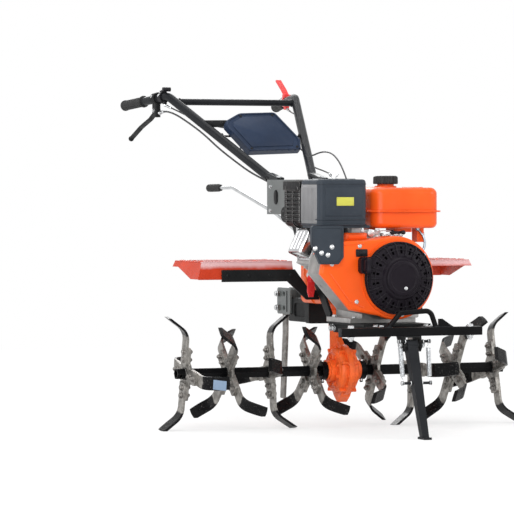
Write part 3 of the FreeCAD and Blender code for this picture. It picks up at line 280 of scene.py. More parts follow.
def moulded(name, colour, rough=0.45, grain=900.0, depth=0.0004, dust=0.08, gloss=0.2):
    """Moulded plastic: leathered grain, faint flow marks and dust."""
    m = material(name)
    base = m.mix(m.ramp(m.noise(9.0), 0.3, 0.7), tone(colour, 0.85), tone(colour, 1.15))
    base = m.mix(m.ramp(m.noise(55.0, 5.0, 0.7), 0.5, 0.8, 0.0, dust), base, tone(colour, 0.6, 0.09))
    base = m.mix(m.times(m.edges(), 0.3), base, tone(colour, 0.7, 0.10))
    pores = m.add("TexVoronoi", {"Scale": grain, "Vector": m.place}).outputs["Distance"]
    height = m.math("ADD", pores, m.times(m.noise(grain * 0.6), 0.6))
    roughness = m.ramp(m.noise(40.0), 0.3, 0.7, rough * 0.85, rough * 1.2)
    return m.principled(base, roughness, 0.0, m.bump(height, 0.35, depth), gloss=gloss)


orange = (0.80, 0.092, 0.007)
shroud_split_y = axle_y - 0.379
shroud_split_z = 0.528
# the fender's front faces above this height get a painted reflection
fender_reflection_z = 0.484
tine_dip_radius = 0.118
looks = {
    "orange": enamel("orange_enamel", orange, coat=0.10, wear=0.15, dust=0.12, gloss=0.20),
    "shroud": two_tone("shroud_enamel", orange, 0.20, shroud_split_y, shroud_split_z),
    "fender": enamel("fender_enamel", (0.47, 0.034, 0.007), 0.40, wear=0.2, dust=0.12, gloss=0.25,
                     reflection_from=fender_reflection_z),
    # a brighter copy of the orange for the gear case: painted light that lifts the case out of the shade of
    # the machine above it
    "case": cast("case_paint_with_painted_light", (1.0, 0.150, 0.024), metallic=0.0, grain=0.0008, gloss=0.3, paint=True),
    "black": enamel("black_enamel", (0.009, 0.010, 0.012), 0.33, coat=0.02, dust=0.06),
    "satin": enamel("black_satin", (0.008, 0.0085, 0.009), 0.46),
    "grey": enamel("grey_enamel", (0.098, 0.108, 0.107), 0.36, coat=0.08, wear=0.25, dust=0.2, gloss=0.28),
    "aluminium": cast("cast_aluminium", (0.46, 0.45, 0.44)),
    "tine": rolled_steel("tine_steel", (0.225, 0.215, 0.200), tine_dip_radius),
    "tube": enamel("tube_enamel", (0.002, 0.002, 0.0025), 0.30, dust=0.03, gloss=0.07),
    "zinc": plated("zinc_plate", (0.62, 0.63, 0.64), 0.25),
    "chrome": plated("chrome_plate", (0.58, 0.58, 0.59), 0.18),
    "slate": moulded("slate_plastic", (0.026, 0.033, 0.043), 0.42, gloss=0.16),
    # a lighter grey copy of the cleaner's plastic for its side face: painted highlight for the glare on that
    # face
    "side": moulded("glare_side_plastic", (0.20, 0.20, 0.205), grain=700.0, depth=0.0003, dust=0.1),
    "plastic": moulded("black_plastic", (0.010, 0.010, 0.012), 0.40, gloss=0.16),
    "panel": moulded("panel_plastic", (0.014, 0.025, 0.052), 0.36),
    "rubber": moulded("grip_rubber", (0.014, 0.014, 0.014), 0.60, dust=0.15, gloss=0.3),
    "red": enamel("red_enamel", (0.66, 0.020, 0.020), 0.28, coat=0.15, wear=0.2, dust=0.12, gloss=0.3),
    "muffler": cast("muffler_paint", (0.016, 0.016, 0.017), 0.55, 0.2, gloss=0.15),
    "sheath": moulded("cable_sheath", (0.022, 0.022, 0.024), 0.34, 1500.0, 0.00015, 0.15, 0.4),
    "recoil": moulded("recoil_plastic", (0.007, 0.005, 0.008), 0.34, 1100.0, 0.0002, 0.03, 0.10),
    "cap": moulded("cap_plastic", (0.010, 0.009, 0.009), 0.38, 1300.0, 0.0002, 0.06),
    "yellow": enamel("yellow_foil", (0.50, 0.485, 0.068), 0.35, coat=0.1, wear=0.1, dust=0.06, gloss=0.3,
                     bare=(0.62, 0.62, 0.60), peel=0.0001),
    "bright": plated("bright_zinc", (0.72, 0.73, 0.74)),
    "spring": plated("spring_zinc", (0.66, 0.68, 0.70)),
    "pipe": plated("pipe_plate", (0.36, 0.42, 0.48), 0.30),
    "worn": rolled_steel("bolt_steel", (0.19, 0.18, 0.17)),
    "scale": rolled_steel("weld_scale", (0.06, 0.058, 0.056)),
    "label": enamel("label_foil", (0.17, 0.24, 0.34), 0.30, coat=0.2, wear=0.0, dust=0.05, gloss=0.3,
                    peel=0.0001),
}
# the CAD nodes of each look; tines are "tine", and the others "satin"
finishes = {
    "zinc": "output_shaft drive_pins stand_pivot_pin right_stand_spring left_stand_spring gear_lever",
    "tube": "left_rotor_tube right_rotor_tube front_bumper",
    "case": "gearbox_lower gearbox_upper",
    "aluminium": "clutch_housing engine_block cylinder_head carburettor",
    "shroud": "fan_shroud",
    "recoil": "recoil_cover",
    "orange": "fuel_tank",
    "slate": "air_cleaner",
    "muffler": "muffler",
    "chrome": "exhaust_pipe",
    "worn": "drag_stake",
    "black": "front_stand left_handle right_handle cross_bar",
    "grey": "hitch_plate handlebar_bracket",
    "fender": "left_fender right_fender",
    "rubber": "gear_knob left_grip right_grip",
    "panel": "control_panel",
    "red": "reverse_lever",
    "plastic": "fuel_cap throttle_lever clutch_cable throttle_cable reverse_cable",
}
finish_of = {name: look for look, names in finishes.items() for name in names.split()}
for name, node in nodes.items():
    node.data.materials.clear()
    node.data.materials.append(looks["tine" if name.endswith("_tines") else finish_of.get(name, "satin")])

# ---- points and outlines, in the part's own millimetres: X to the left, Y to the rear, Z up ----


def V(x, y, z):
    return Vector((x, y, z))


def P(x, y, z):
    # a point of the part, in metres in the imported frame
    return Vector((x / 1000.0, y / 1000.0 + axle_y, z / 1000.0))


LEFT, RIGHT = V(1, 0, 0), V(-1, 0, 0)
REAR, FRONT = V(0, 1, 0), V(0, -1, 0)
UP, DOWN = V(0, 0, 1), V(0, 0, -1)
both = (-1, 1)


def mirror(side, point):
    return V(point.x * side, point.y, point.z)


def grid(xs, ys, zs):
    return [V(x, y, z) for x in xs for y in ys for z in zs]


def spread(count, first=0.0):
    return [first + 2 * math.pi * i / count for i in range(count)]


def bands(first, pitch, count, band):
    # rows of a lathed body that repeat along its axis
    return [(first + pitch * i + z, *rest) for i in range(count) for z, *rest in band]


def bezier(a, b, c, t):
    return a * (1 - t) ** 2 + b * (2 * t * (1 - t)) + c * t ** 2


def rounded(corners, reach, steps):
    # a closed outline that turns each corner in a curve from this far before it to this far past it
    points = []
    for before, corner, after in zip(corners[-1:] + corners, corners, corners[1:] + corners[:1]):
        start = corner + (before - corner).normalized() * reach
        end = corner + (after - corner).normalized() * reach
        points += [bezier(start, corner, end, k / steps) for k in range(steps + 1)]
    return points


def rounded_loop(x0, x1, y0, y1, z, r, steps=6):
    points = []
    corners = ((x1 - r, y1 - r), (x0 + r, y1 - r), (x0 + r, y0 + r), (x1 - r, y0 + r))
    for quarter, (x, y) in enumerate(corners):
        for k in range(steps + 1):
            a = math.radians(90 * quarter + 90.0 * k / steps)
            points.append(V(x + r * math.cos(a), y + r * math.sin(a), z))
    return points


class Piece:
    """Collects mesh parts inside its with block, then becomes one named piece that rides on a body."""

    def __init__(self, name, look, body="machine", slot=None, hides=False):
        self.name, self.look, self.body, self.slot, self.hides = name, look, body, slot, hides
        self.bm = bmesh.new()

    def __enter__(self):
        return self

    def __exit__(self, failure, *rest):
        if failure is None:
            self.build()

    def build(self):
        mesh = bpy.data.meshes.new(self.name)
        bmesh.ops.recalc_face_normals(self.bm, faces=self.bm.faces)
        self.bm.to_mesh(mesh)
        self.bm.free()
        mesh.transform(Matrix.Translation((0, axle_y, 0)) @ Matrix.Scale(0.001, 4))
        mesh.polygons.foreach_set("use_smooth", [True] * len(mesh.polygons))
        mesh.set_sharp_from_angle(angle=math.radians(35.0))
        mesh.materials.append(looks[self.look])
        made = bpy.data.objects.new(self.name, mesh)
        scene.collection.objects.link(made)
        if self.body:
            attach(made, self.body)
        if self.hides:
            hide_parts(self.slot)
        self.made = made

    def place(self, spot, axis, twist=0.0):
        turned = Vector(axis).normalized().to_track_quat("Z", "Y").to_matrix().to_4x4()
        return Matrix.Translation(Vector(spot)) @ turned @ Matrix.Rotation(twist, 4, "Z")

    def skin(self, rings, caps=True):
        # rings: lists of vertices, or a single vertex for a pole
        for a, b in zip(rings, rings[1:]):
            count = max(len(a), len(b))
            for i in range(count):
                j = (i + 1) % count
                corners = (a[i % len(a)], a[j % len(a)], b[j % len(b)], b[i % len(b)])
                face = list(dict.fromkeys(corners))
                if len(face) > 2:
                    self.bm.faces.new(face)
        for end in (rings[0][::-1], rings[-1]) if caps else ():
            if len(end) > 2:
                self.bm.faces.new(end)

    def lathe(self, spot, axis, rows, sides=32, twist=0.0, flutes=0, depth=0.0, caps=True):
        # rows: height along the axis and radius, with an optional share of the fluting
        m = self.place(spot, axis, twist)
        rings = []
        for height, radius, *share in rows:
            if radius <= 0:
                rings.append([self.bm.verts.new(m @ V(0, 0, height))])
                continue
            ring = []
            for angle in spread(sides):
                r = radius - depth * sum(share) * (0.5 - 0.5 * math.cos(flutes * angle))
                ring.append(self.bm.verts.new(m @ V(r * math.cos(angle), r * math.sin(angle), height)))
            rings.append(ring)
        self.skin(rings, caps)

    def tube(self, points, radius, sides=8, closed=False, grow=None):
        points = [Vector(p) for p in points]
        count = len(points)
        rings, side, last = [], None, None
        for i, point in enumerate(points):
            back = points[i - 1] if i or closed else point
            ahead = points[(i + 1) % count] if i < count - 1 or closed else point
            way = (ahead - back).normalized()
            if side is None:
                side = way.orthogonal().normalized()
            else:
                side = last.rotation_difference(way) @ side
                side = (side - way * side.dot(way)).normalized()
            last, other = way, way.cross(side)
            r = radius * (grow(i / (count - 1)) if grow else 1.0)
            rings.append([self.bm.verts.new(point + side * (r * math.cos(a)) + other * (r * math.sin(a)))
                          for a in spread(sides)])
        if closed:
            first, end = rings[0], rings[-1][0].co
            best = min(range(sides), key=lambda k: (end - first[k].co).length)
            rings.append(first[best:] + first[:best])
        self.skin(rings, not closed)

    def round_edges(self, edges, bevel, segments):
        bmesh.ops.bevel(self.bm, geom=list(edges), offset=bevel, segments=segments, affect="EDGES",
                        profile=0.5)

    def block(self, low, high, bevel=1.0, segments=2, matrix=None):
        low, high = Vector(low), Vector(high)
        m = Matrix.Translation((low + high) / 2) @ Matrix.Diagonal((*(high - low), 1.0))
        made = bmesh.ops.create_cube(self.bm, size=1.0, matrix=m)["verts"]
        if matrix is not None:
            bmesh.ops.transform(self.bm, matrix=matrix, verts=made)
        self.round_edges({e for v in made for e in v.link_edges}, bevel, segments)

    def plate(self, outline, depth, bevel=0.6):
        low = [self.bm.verts.new(Vector(p)) for p in outline]
        high = [self.bm.verts.new(Vector(p) + depth) for p in outline]
        normal = (low[1].co - low[0].co).cross(low[2].co - low[1].co)
        if normal.dot(depth) > 0:
            low.reverse()
            high.reverse()
        faces = [self.bm.faces.new(low), self.bm.faces.new(high[::-1])]
        for i in range(len(low)):
            j = (i + 1) % len(low)
            self.bm.faces.new((low[j], low[i], high[i], high[j]))
        self.round_edges({e for f in faces for e in f.edges}, bevel, 2)

    def hexagon(self, spot, axis, flat, height, twist=0.3, foot=0.0):
        corner = flat / math.sqrt(3)
        rows = [(foot, corner), (foot + height * 0.82, corner), (foot + height, corner * 0.86)]
        self.lathe(spot, axis, rows, 6, twist)

    def washer(self, spot, axis, radius, thick):
        self.lathe(spot, axis, [(0, radius), (thick * 0.7, radius), (thick, radius - thick * 0.3)], 20)

    def bolt(self, spot, axis, size=8.0, twist=0.3):
        # flange-head bolt
        self.washer(spot, axis, size * 1.08, size * 0.16)
        self.hexagon(spot, axis, size * 1.6, size * 0.6, twist, size * 0.15)

    def bolts(self, spots, axis, size=8.0):
        for spot in spots:
            self.bolt(spot, axis, size)

    def side_bolts(self, spots, size):
        # the same bolts on both sides, with their heads outwards
        for side in both:
            for x, y, z in spots:
                self.bolt((side * x, y, z), (side, 0, 0), size)

    def nut(self, spot, axis, size=8.0, twist=0.1):
        self.washer(spot, axis, size * 1.08, size * 0.18)
        self.hexagon(spot, axis, size * 1.6, size * 0.75, twist, size * 0.17)
        top = size * 0.92
        rows = [(top - 1, size / 2), (top + size * 0.3, size / 2), (top + size * 0.4, size * 0.4)]
        self.lathe(spot, axis, rows, 16)

    def dome(self, spot, axis, radius, height):
        rows = [(0, radius), (height * 0.35, radius)]
        rows += [(height * (0.35 + 0.65 * math.sin(a)), radius * math.cos(a)) for a in (0.4, 0.8, 1.15)]
        self.lathe(spot, axis, rows + [(height, 0)], 18)

    def ring(self, spot, axis, radius, thick, sides=48, round_sides=8, wobble=0.0):
        m = self.place(spot, axis)
        points = []
        for k, a in enumerate(spread(sides)):
            r = radius + wobble * math.sin(5.3 * k)
            points.append(m @ V(r * math.cos(a), r * math.sin(a), 0))
        self.tube(points, thick, round_sides, closed=True)

    def weld(self, start, end, radius=2.6, pitch=2.2):
        start, end = Vector(start), Vector(end)
        count = max(4, int((end - start).length / pitch * 4))
        points = [start.lerp(end, i / count) for i in range(count + 1)]
        self.tube(points, radius, grow=lambda t: 0.82 + 0.18 * abs(math.sin(math.pi * t * count / 4)))

    def coil(self, start, end, radius, wire, turns, sides=6, steps=10):
        # an extension spring: close coils with a straight leg at each end
        m = self.place(start, end - start)
        length = (end - start).length
        leg = length * 0.16
        count = turns * steps
        points = [m @ V(0, 0, 0), m @ V(0, 0, leg * 0.6)]
        for i in range(count + 1):
            a = 2 * math.pi * i / steps
            z = leg + (length - 2 * leg) * i / count
            points.append(m @ V(radius * math.cos(a), radius * math.sin(a), z))
        points += [m @ V(0, 0, length - leg * 0.6), m @ V(0, 0, length)]
        self.tube(points, wire, sides)


# ---- control cables: the route's own points, as one smooth spline each ----

clutch_route = (
    (-231, 938, 962), (-229, 900, 970), (-218, 836, 960), (-200, 760, 930), (-177, 684, 892),
    (-155, 612, 846), (-133, 540, 808), (-104, 470, 768), (-66, 408, 738), (-34, 350, 706),
    (-14, 290, 664), (-6, 238, 612), (-2, 196, 562), (0, 164, 520))
throttle_route = (
    (-227, 898, 988), (-214, 858, 976), (-188, 800, 952), (-158, 744, 930), (-112, 706, 914),
    (-46, 690, 906), (30, 686, 899), (94, 664, 884), (120, 612, 852), (136, 560, 818), (150, 498, 836),
    (155, 430, 832), (150, 362, 806), (136, 292, 772), (120, 222, 732), (108, 152, 690),
    (92, 84, 648), (68, 20, 614), (44, -48, 590), (36, -126, 580), (34, -206, 578),
    (20, -262, 584), (-12, -281, 585))
reverse_route = (
    (243, 992, 981), (234, 934, 968), (222, 874, 962), (204, 812, 944), (182, 744, 910), (160, 676, 872),
    (140, 606, 832), (134, 536, 788), (140, 466, 776), (140, 398, 764), (131, 332, 742),
    (120, 268, 710), (112, 208, 662), (108, 152, 606), (98, 100, 556), (76, 60, 520),
    (52, 36, 501))


def smooth_line(name, rows):
    # the points along the route's NURBS spline, in metres
    curve = bpy.data.curves.new(name + "_line", "CURVE")
    curve.dimensions = "3D"
    spline = curve.splines.new("NURBS")
    spline.points.add(len(rows) - 1)
    for point, row in zip(spline.points, rows):
        point.co = (*P(*row), 1.0)
    spline.order_u = 3
    spline.use_endpoint_u = True
    spline.resolution_u = 14
    carrier = bpy.data.objects.new(name + "_line", curve)
    mesh = bpy.data.meshes.new_from_object(carrier)
    points = [v.co.copy() for v in mesh.vertices]
    bpy.data.objects.remove(carrier)
    bpy.data.curves.remove(curve)
    bpy.data.meshes.remove(mesh)
    return points


def control_cable(name, rows, diameter):
    path = smooth_line(name, rows)
    inner = [V(p.x * 1000, (p.y - axle_y) * 1000, p.z * 1000) for p in path]
    with Piece(name + "_sleeve", "sheath", None, name, hides=True) as s:
        s.tube(inner, diameter * 500.0, 12)
    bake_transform(s.made)
    return inner


clutch_line = control_cable("clutch_cable", clutch_route, 0.006)
throttle_line = control_cable("throttle_cable", throttle_route, 0.005)
reverse_line = control_cable("reverse_cable", reverse_route, 0.005)

# ---- grips, levers and handlebar tubes ----

handle_length = 574
handle_foot = V(74, 392, 753)
handle_way = V(148, 488, 263).normalized()
handle_bend = handle_foot + handle_way * handle_length
grip_way = V(48, 270, -25).normalized()
grip_start = 151
bracket_half = 86
tilt_y, tilt_z = 170, 640


def past_bend(distance, side):
    return mirror(side, handle_bend + grip_way * distance)


def hand_grip(name, side):
    rows = [(0, 15.2), (0.6, 19), (4.6, 19.4), (6.4, 17.2), (8.5, 15.9)]
    rows += bands(11, 8, 13, ((0, 15.5, 0.4), (0.8, 16.5, 1), (5.4, 16.7, 1), (6.4, 15.5, 0.4)))
    rows += [(118, 15.6), (119, 17.6), (124.5, 17.4), (127.2, 15.4), (127.9, 12), (128, 0)]
    start, way = past_bend(grip_start, side), mirror(side, grip_way)
    with Piece(name + "_rubber", "rubber", "handlebars", name, hides=True) as s:
        s.lathe(start, way, rows, 72, flutes=12, depth=0.9)
        s.lathe(start, way, [(-0.2, 14.4), (0.2, 15), (0.6, 14.4)])


hand_grip("left_grip", 1)
hand_grip("right_grip", -1)

with Piece("gear_knob_rubber", "rubber", slot="gear_knob", hides=True) as s:
    rows = [(0, 7), (0.5, 9.8), (3, 10.6), (9, 11.2)]
    rows += bands(12, 6.4, 9, ((0, 11.2, 0.3), (0.7, 12.4, 1), (4.4, 12.6, 1), (5.4, 11.2, 0.3)))
    rows += [(71, 12), (76, 12.2), (79, 10), (80, 5), (80.2, 0)]
    s.lathe((-86, 762, 721), (-10, 72, -1), rows, 48, flutes=8, depth=0.9)


def adjuster(name, line, body, size):
    # a screwed barrel and lock nut where a cable meets its lever or casting
    at = line[0]
    way = (line[5] - at).normalized()
    thread = bands(6.4, 1.5, 9, ((0, size * 0.66), (0.75, size * 0.56)))
    boot = [(20, size * 0.86), (21, size * 0.95), (34, size * 0.86), (36, size * 0.66)]
    with Piece(name, "zinc", body) as s:
        s.hexagon(at + way * 1, way, size * 2, 5)
        s.lathe(at, way, [(6, size * 0.62)] + thread + [(20.5, size * 0.62)], 20)
        s.hexagon(at + way * 14, way, size * 1.9, 3.6, 0.7)
        s.lathe(at, way, boot, 24, flutes=12, depth=0.5)


adjuster("clutch_cable_barrel", clutch_line, "handlebars", 5.5)
adjuster("throttle_cable_barrel", throttle_line, "handlebars", 4.4)
adjuster("reverse_cable_barrel", reverse_line, "handlebars", 4.4)
adjuster("clutch_cable_stop", clutch_line[::-1], "machine", 6)
adjuster("throttle_cable_stop", throttle_line[::-1], "machine", 4)
adjuster("reverse_cable_stop", reverse_line[::-1], "machine", 5)

with Piece("handlebar_screws", "zinc", "handlebars") as s:
    for side, distance, radius in ((-1, 72, 20), (-1, 30.5, 18.5), (1, 122, 18.5)):
        clamp = past_bend(distance, side)
        s.bolt(clamp + V(side * radius * 0.86, 0, 6), V(side, 0, 0.2), 5)
        s.nut(clamp + V(-side * radius * 0.86, 0, 6), V(-side, 0, 0.2), 5)
    lever_pin = past_bend(71, -1) + V(0, 5, -38)
    s.bolt(lever_pin - V(9.2, 0, 0), RIGHT, 6)
    s.nut(lever_pin + V(9.2, 0, 0), LEFT, 6)
    for side in both:
        for y in (316, 352):
            s.bolt((side * handle_foot.x, y, 752.4), UP)
            s.nut((side * handle_foot.x, y, 741.8), DOWN)
    s.side_bolts([(bracket_half, y, z) for y, z in ((206, 724), (352, 724), (352, 650))], 6)
with Piece("handlebar_welds", "black", "handlebars") as s:
    for side in both:
        bar_end = mirror(side, handle_bend - handle_way * 41)
        for k in range(2):
            s.ring(bar_end - V(side * (14.6 + k), 0, 0), LEFT, 11.2, 1.7, 30, 8, 0.25)
        foot = mirror(side, handle_foot)
        for x in (13, -13):
            s.weld(foot + V(x, -22, -2), foot + V(x, 8, 8), 2)
        stay_end = mirror(side, handle_foot + handle_way * (handle_length / 2))
        s.ring(stay_end - V(side * 15, 0, 0), LEFT, 8, 2, 24, 8, 0.3)
with Piece("handle_sleeves", "plastic", "handlebars") as s:
    for side in both:
        rows = [(0, 14.2), (0.3, 15), (6.5, 15), (6.9, 14.2)]
        s.lathe(past_bend(143.5, side), mirror(side, grip_way), rows)

# ---- control panel: a raised rim and field, lip ribs, screws and a ribbed back ----

panel_low = V(0, 566, 836)
panel_lean = math.radians(30)
panel_up = V(0, math.sin(panel_lean), math.cos(panel_lean))
panel_out = V(0, -math.cos(panel_lean), math.sin(panel_lean))
panel_corners = ((-67, 0), (111, 8), (116, 45), (48, 144), (-77, 139), (-124, 113), (-128, 95))


def on_panel(x, height, out=0):
    return panel_low + V(x, 0, 0) + panel_up * height + panel_out * out


panel_outline = [on_panel(*corner) for corner in panel_corners]
panel_centre = sum(panel_outline, V(0, 0, 0)) / len(panel_outline)


def shrunk_panel(share, out):
    return [panel_centre + (p - panel_centre) * share + panel_out * out for p in panel_outline]


with Piece("control_panel_rim", "panel", "handlebars", "control_panel") as s:
    s.tube(rounded(shrunk_panel(0.965, 1.2), 9, 4), 2.8, 10, closed=True)
    s.plate(shrunk_panel(0.80, 0.05), panel_out * 2.2, 1)
    for i in range(7):
        x = -46 + i * 23
        s.block((x - 1.4, 565, 838), (x + 1.4, 584, 841), 0.6, 1)
with Piece("control_panel_screws", "plastic", "handlebars") as s:
    for x, height in ((-58, 10), (100, 18), (38, 134), (-72, 130)):
        s.dome(on_panel(x, height, 0.2), panel_out, 4.6, 2.6)
with Piece("control_panel_back", "panel", "handlebars", "control_panel") as s:
    s.plate(shrunk_panel(0.86, -24.1), panel_out * -1.6, 0.7)
    for x in (-84, -42, 0, 42):
        s.tube([on_panel(x, 22, -26), on_panel(x, 118, -26)], 1.8)
with Piece("panel_stay", "satin", "handlebars", "panel_bracket") as s:
    s.plate([(-170, 702, 936), (-112, 652, 936), (-112, 652, 915), (-170, 702, 912)], V(2.2, 2.6, 0), 0.7)
    s.bolt((-124, 661.5, 926), (-0.65, -0.76, 0), 6)
# eight-lobed knob on the clamp bolt
with Piece("tilt_knob_cap", "plastic", "handlebars", "tilt_bolt") as s:
    rows = [(0, 15), (0.6, 16, 0), (2, 21, 0.3), (4, 25.2, 1), (20, 25.4, 1), (23.5, 23.5, 0.8),
            (25.8, 19, 0.3), (26.6, 13), (26.9, 9), (26, 8), (26, 0)]
    s.lathe((-93.6, tilt_y, tilt_z), RIGHT, rows, 80, 0.2, 8, 4.2)

# ---- engine: recoil starter, shroud and switch ----

engine_z = 458
shroud_face = -392
recoil_face = -438
flap_face = -408


def polar(radius, degrees, y, z=engine_z):
    a = math.radians(degrees)
    return V(radius * math.cos(a), y, z + radius * math.sin(a))


with Piece("recoil_ribs", "recoil", slot="recoil_cover") as s:
    spoke = ((66, -428.6), (80, -426.6), (93, -423.6), (101, -417), (104.2, -411))
    edge_rib = ((98.5, -419.4), (103.6, -413), (104.4, -402))
    for a in range(0, 360, 20):
        s.tube([polar(r, a, y) for r, y in spoke], 2.4)
        for b in (a - 5.6, a + 5.6):
            s.tube([polar(r, b, y) for r, y in edge_rib], 1.2, 6)
    for y, radius, thick in ((-426, 84, 1.7), (-414, 104.2, 2.2), (-400.5, 104.6, 1.8)):
        s.ring((0, y, engine_z), FRONT, radius, thick, 72 if radius < 100 else 84)
    rows = [(0, 52), (2.4, 50.5), (3.4, 48), (3.6, 41), (2.2, 39.5), (2, 37), (2.6, 0)]
    s.lathe((0, recoil_face, engine_z), FRONT, rows, 64)
    # starter handle: a waisted grip with its rope eye
    rows = [(0, 3), (1.5, 7), (5, 8.6), (12, 7.4), (22, 6.9), (32, 7.4), (39, 8.6), (42.5, 7), (44, 3)]
    s.lathe((-111, -440, 474), UP, rows, 24)
    s.lathe((-111, -437, 496), REAR, [(0, 6.4), (8, 7.6), (14, 8.8)], 20)
with Piece("shroud_bolts", "zinc") as s:
    for a in (38, 158, 278):
        s.bolt(polar(107.5, a, -398.2), FRONT, 6, 0.3 + a)
    for x, z in ((-206, 500), (-118, 552), (-128, 390)):
        s.bolt((x, shroud_face - 0.1, z), FRONT, 6, 0.5)
    s.bolt(polar(30, 285, -440.6), FRONT, 5)
with Piece("shroud_pressings", "orange", slot="fan_shroud") as s:
    for bead in (((-214, 474), (-150, 392), (-104, 372)), ((-206, 528), (-176, 556), (-104, 559))):
        s.tube([(x, shroud_face - 0.2, z) for x, z in bead], 2)
    s.block((-133, -330, 567), (-66, -300, 590), 4, 3)
    s.block((-128, -333, 572), (-72, -329, 585), 1.5)
with Piece("engine_switch", "plastic") as s:
    s.block((-131, -396, 521), (-94, -391.5, 543), 2.6, 3)
    s.block((-126, -397.6, 525), (-99, -395.5, 539), 1.6)
    s.block((-120, -400.6, 527.5), (-106, -397, 536.5), 1.6)

# ---- handlebar bracket: a black insert with a thin flange in the slot of each cheek, painted shade for the dark opening ----

slot_y, slot_z = (296, 320), (672, 712)
slot_radius = 11
# near-black plugs that close the see-through slots: painted shade
with Piece("bracket_slot_shade_plugs", "tube", "handlebars") as s:
    for side in both:
        for grow, near, far in ((-0.6, 81, 86.4), (2.6, 86.2, 87.7)):
            loop = rounded_loop(slot_y[0] - grow, slot_y[1] + grow, slot_z[0] - grow, slot_z[1] + grow,
                                0, slot_radius + grow)
            s.plate([(side * near, p.x, p.y) for p in loop], V(side * (far - near), 0, 0), 0.5)

# ---- engine: air cleaner, tank, carburettor, cylinder, muffler and crankcase ----


def air_cleaner():
    x0, x1, y0, y1, z0, z1 = -236, -80, -362, -228, 612, 746
    rib_rows = [y0 + 19 + 9.7 * i for i in range(11)]
    # the side face and its ribs in the lighter grey: painted glare
    with Piece("air_cleaner_glare_side", "side", slot="air_cleaner") as s:
        s.block((x0 - 1.4, y0 + 12, z0 + 5), (x0 + 2, y1 - 12, z1 - 15), 1.4)
        for y in rib_rows:
            rib = ((x0 - 0.8, z0 + 8), (x0 - 2.4, z0 + 15), (x0 - 2.4, z1 - 28), (x0 - 0.8, z1 - 20))
            s.tube([(x, y, z) for x, z in rib], 2.5)
    with Piece("air_cleaner_ribs", "slate", slot="air_cleaner") as s:
        for z, r in ((z0 + 17, 2), (z0 + 2.5, 2.6), (z1 - 14, 1.4)):
            s.tube(rounded_loop(x0 - 0.4, x1 + 0.4, y0 - 0.4, y1 + 0.4, z, 16.4), r, closed=True)
        rib = ((-0.2, z0 + 24), (0.9, z0 + 32), (0.9, z1 - 26), (-0.2, z1 - 18))
        for y in rib_rows:
            s.tube([(x1 + out, y, z) for out, z in rib], 2.5)
        for i in range(12):
            s.tube([(x0 + 23 + 10 * i, y1 + out, z) for out, z in rib], 2.5)
        # raised fields on the front and top
        s.block((x0 + 22, y0 - 1.4, z0 + 26), (x1 - 16, y0 + 4, z1 - 22), 2.4, 3)
        s.block((x0 + 26, y0 + 24, z1 - 4), (x1 - 26, y1 - 24, z1 + 1.8), 2.4, 3)
        # rim of the flap below
        flap = ((-180, 606), (-273, 606), (-273, 562), (-247, 504), (-194, 504), (-180, 522))
        s.tube(rounded([V(x, flap_face - 0.4, z) for x, z in flap], 8, 3), 1.8, closed=True)
    with Piece("air_cleaner_plate", "yellow") as s:
        s.block((-179, y0 - 2.6, 669), (-124, y0 - 1.2, 694), 1)
        for spot in grid((-175, -128), (y0 - 2.6,), (673, 690)):
            s.dome(spot, FRONT, 1.5, 0.8)
    with Piece("air_cleaner_screws", "bright") as s:
        for x, z in ((-266, 546), (-246, 533), (-226, 527), (-213, 550)):
            s.lathe((x, flap_face, z), FRONT, [(0, 7), (0.8, 7), (1.2, 6.2)], 20)
            s.dome((x, flap_face - 1, z), FRONT, 5.4, 3.6)
        knob = V(-158, -295, z1 + 1.4)
        s.lathe(knob, UP, [(0, 11), (1.4, 11), (2, 9), (2.2, 6), (11, 5), (12, 3.4), (12.4, 0)], 24)
        for side in both:
            wing = [knob + V(side * x, 0, z) for x, z in ((4, 5), (11, 9), (15, 15))]
            s.tube(wing, 2.6, 10, grow=lambda t: 1.1 - 0.35 * t)


air_cleaner()


def fuel_tank():
    x0, x1, y0, y1, z0, z1 = -34, 180, -312, -112, 602, 722
    cap_x, cap_y = 50, -205
    with Piece("tank_seam", "orange", slot="fuel_tank") as s:
        s.tube(rounded_loop(x0 - 8.6, x1 + 8.6, y0 - 8.6, y1 + 8.6, z0 + 50, 41), 2.5, closed=True)
        s.ring((cap_x, cap_y, z1 + 2), UP, 30, 3)
        for x in (x0 + 30, x1 - 52):
            s.block((x, y0 + 40, z1 - 2), (x + 14, y1 - 40, z1 + 1.6), 1.4)
    with Piece("fuel_cap_knurl", "cap", slot="fuel_cap", hides=True) as s:
        rows = [(0, 33), (0.8, 36.2, 0.2), (3, 37, 0.6), (5, 37, 1), (19, 36.6, 1), (22, 35.4, 0.5),
                (24.4, 32), (25, 28), (23.8, 26.5), (23.6, 16), (24.6, 14.5), (25.2, 0)]
        s.lathe((cap_x, cap_y, z1 + 10), UP, rows, 160, 0, 26, 2.2)
    with Piece("tank_bolts", "zinc") as s:
        for x, way in ((-19.2, RIGHT), (161.2, LEFT)):
            s.bolts(grid((x,), (-229, -207), (584,)), way, 6)
        s.bolt((89, -215, 590), DOWN)


fuel_tank()

with Piece("breather_pipe", "pipe") as s:
    bends = [V(132, -229, 610), V(146, -238, 594), V(158, -246, 574), V(160, -248, 548),
             V(146, -248, 524), V(112, -240, 514)]
    # a smooth line from the first point to the last, past the others
    halves = [(a + b) / 2 for a, b in zip(bends[1:-1], bends[2:-1])]
    line = []
    for a, b, c in zip(bends[:1] + halves, bends[1:-1], halves + bends[-1:]):
        line += [bezier(a, b, c, k / 6) for k in range(6)]
    line.append(bends[-1])
    s.tube(line, 3.6, 12)
    s.hexagon((140, -234, 602), line[3] - line[1], 12, 8)
    s.hexagon((118, -242, 516), line[-1] - line[-3], 12, 8)

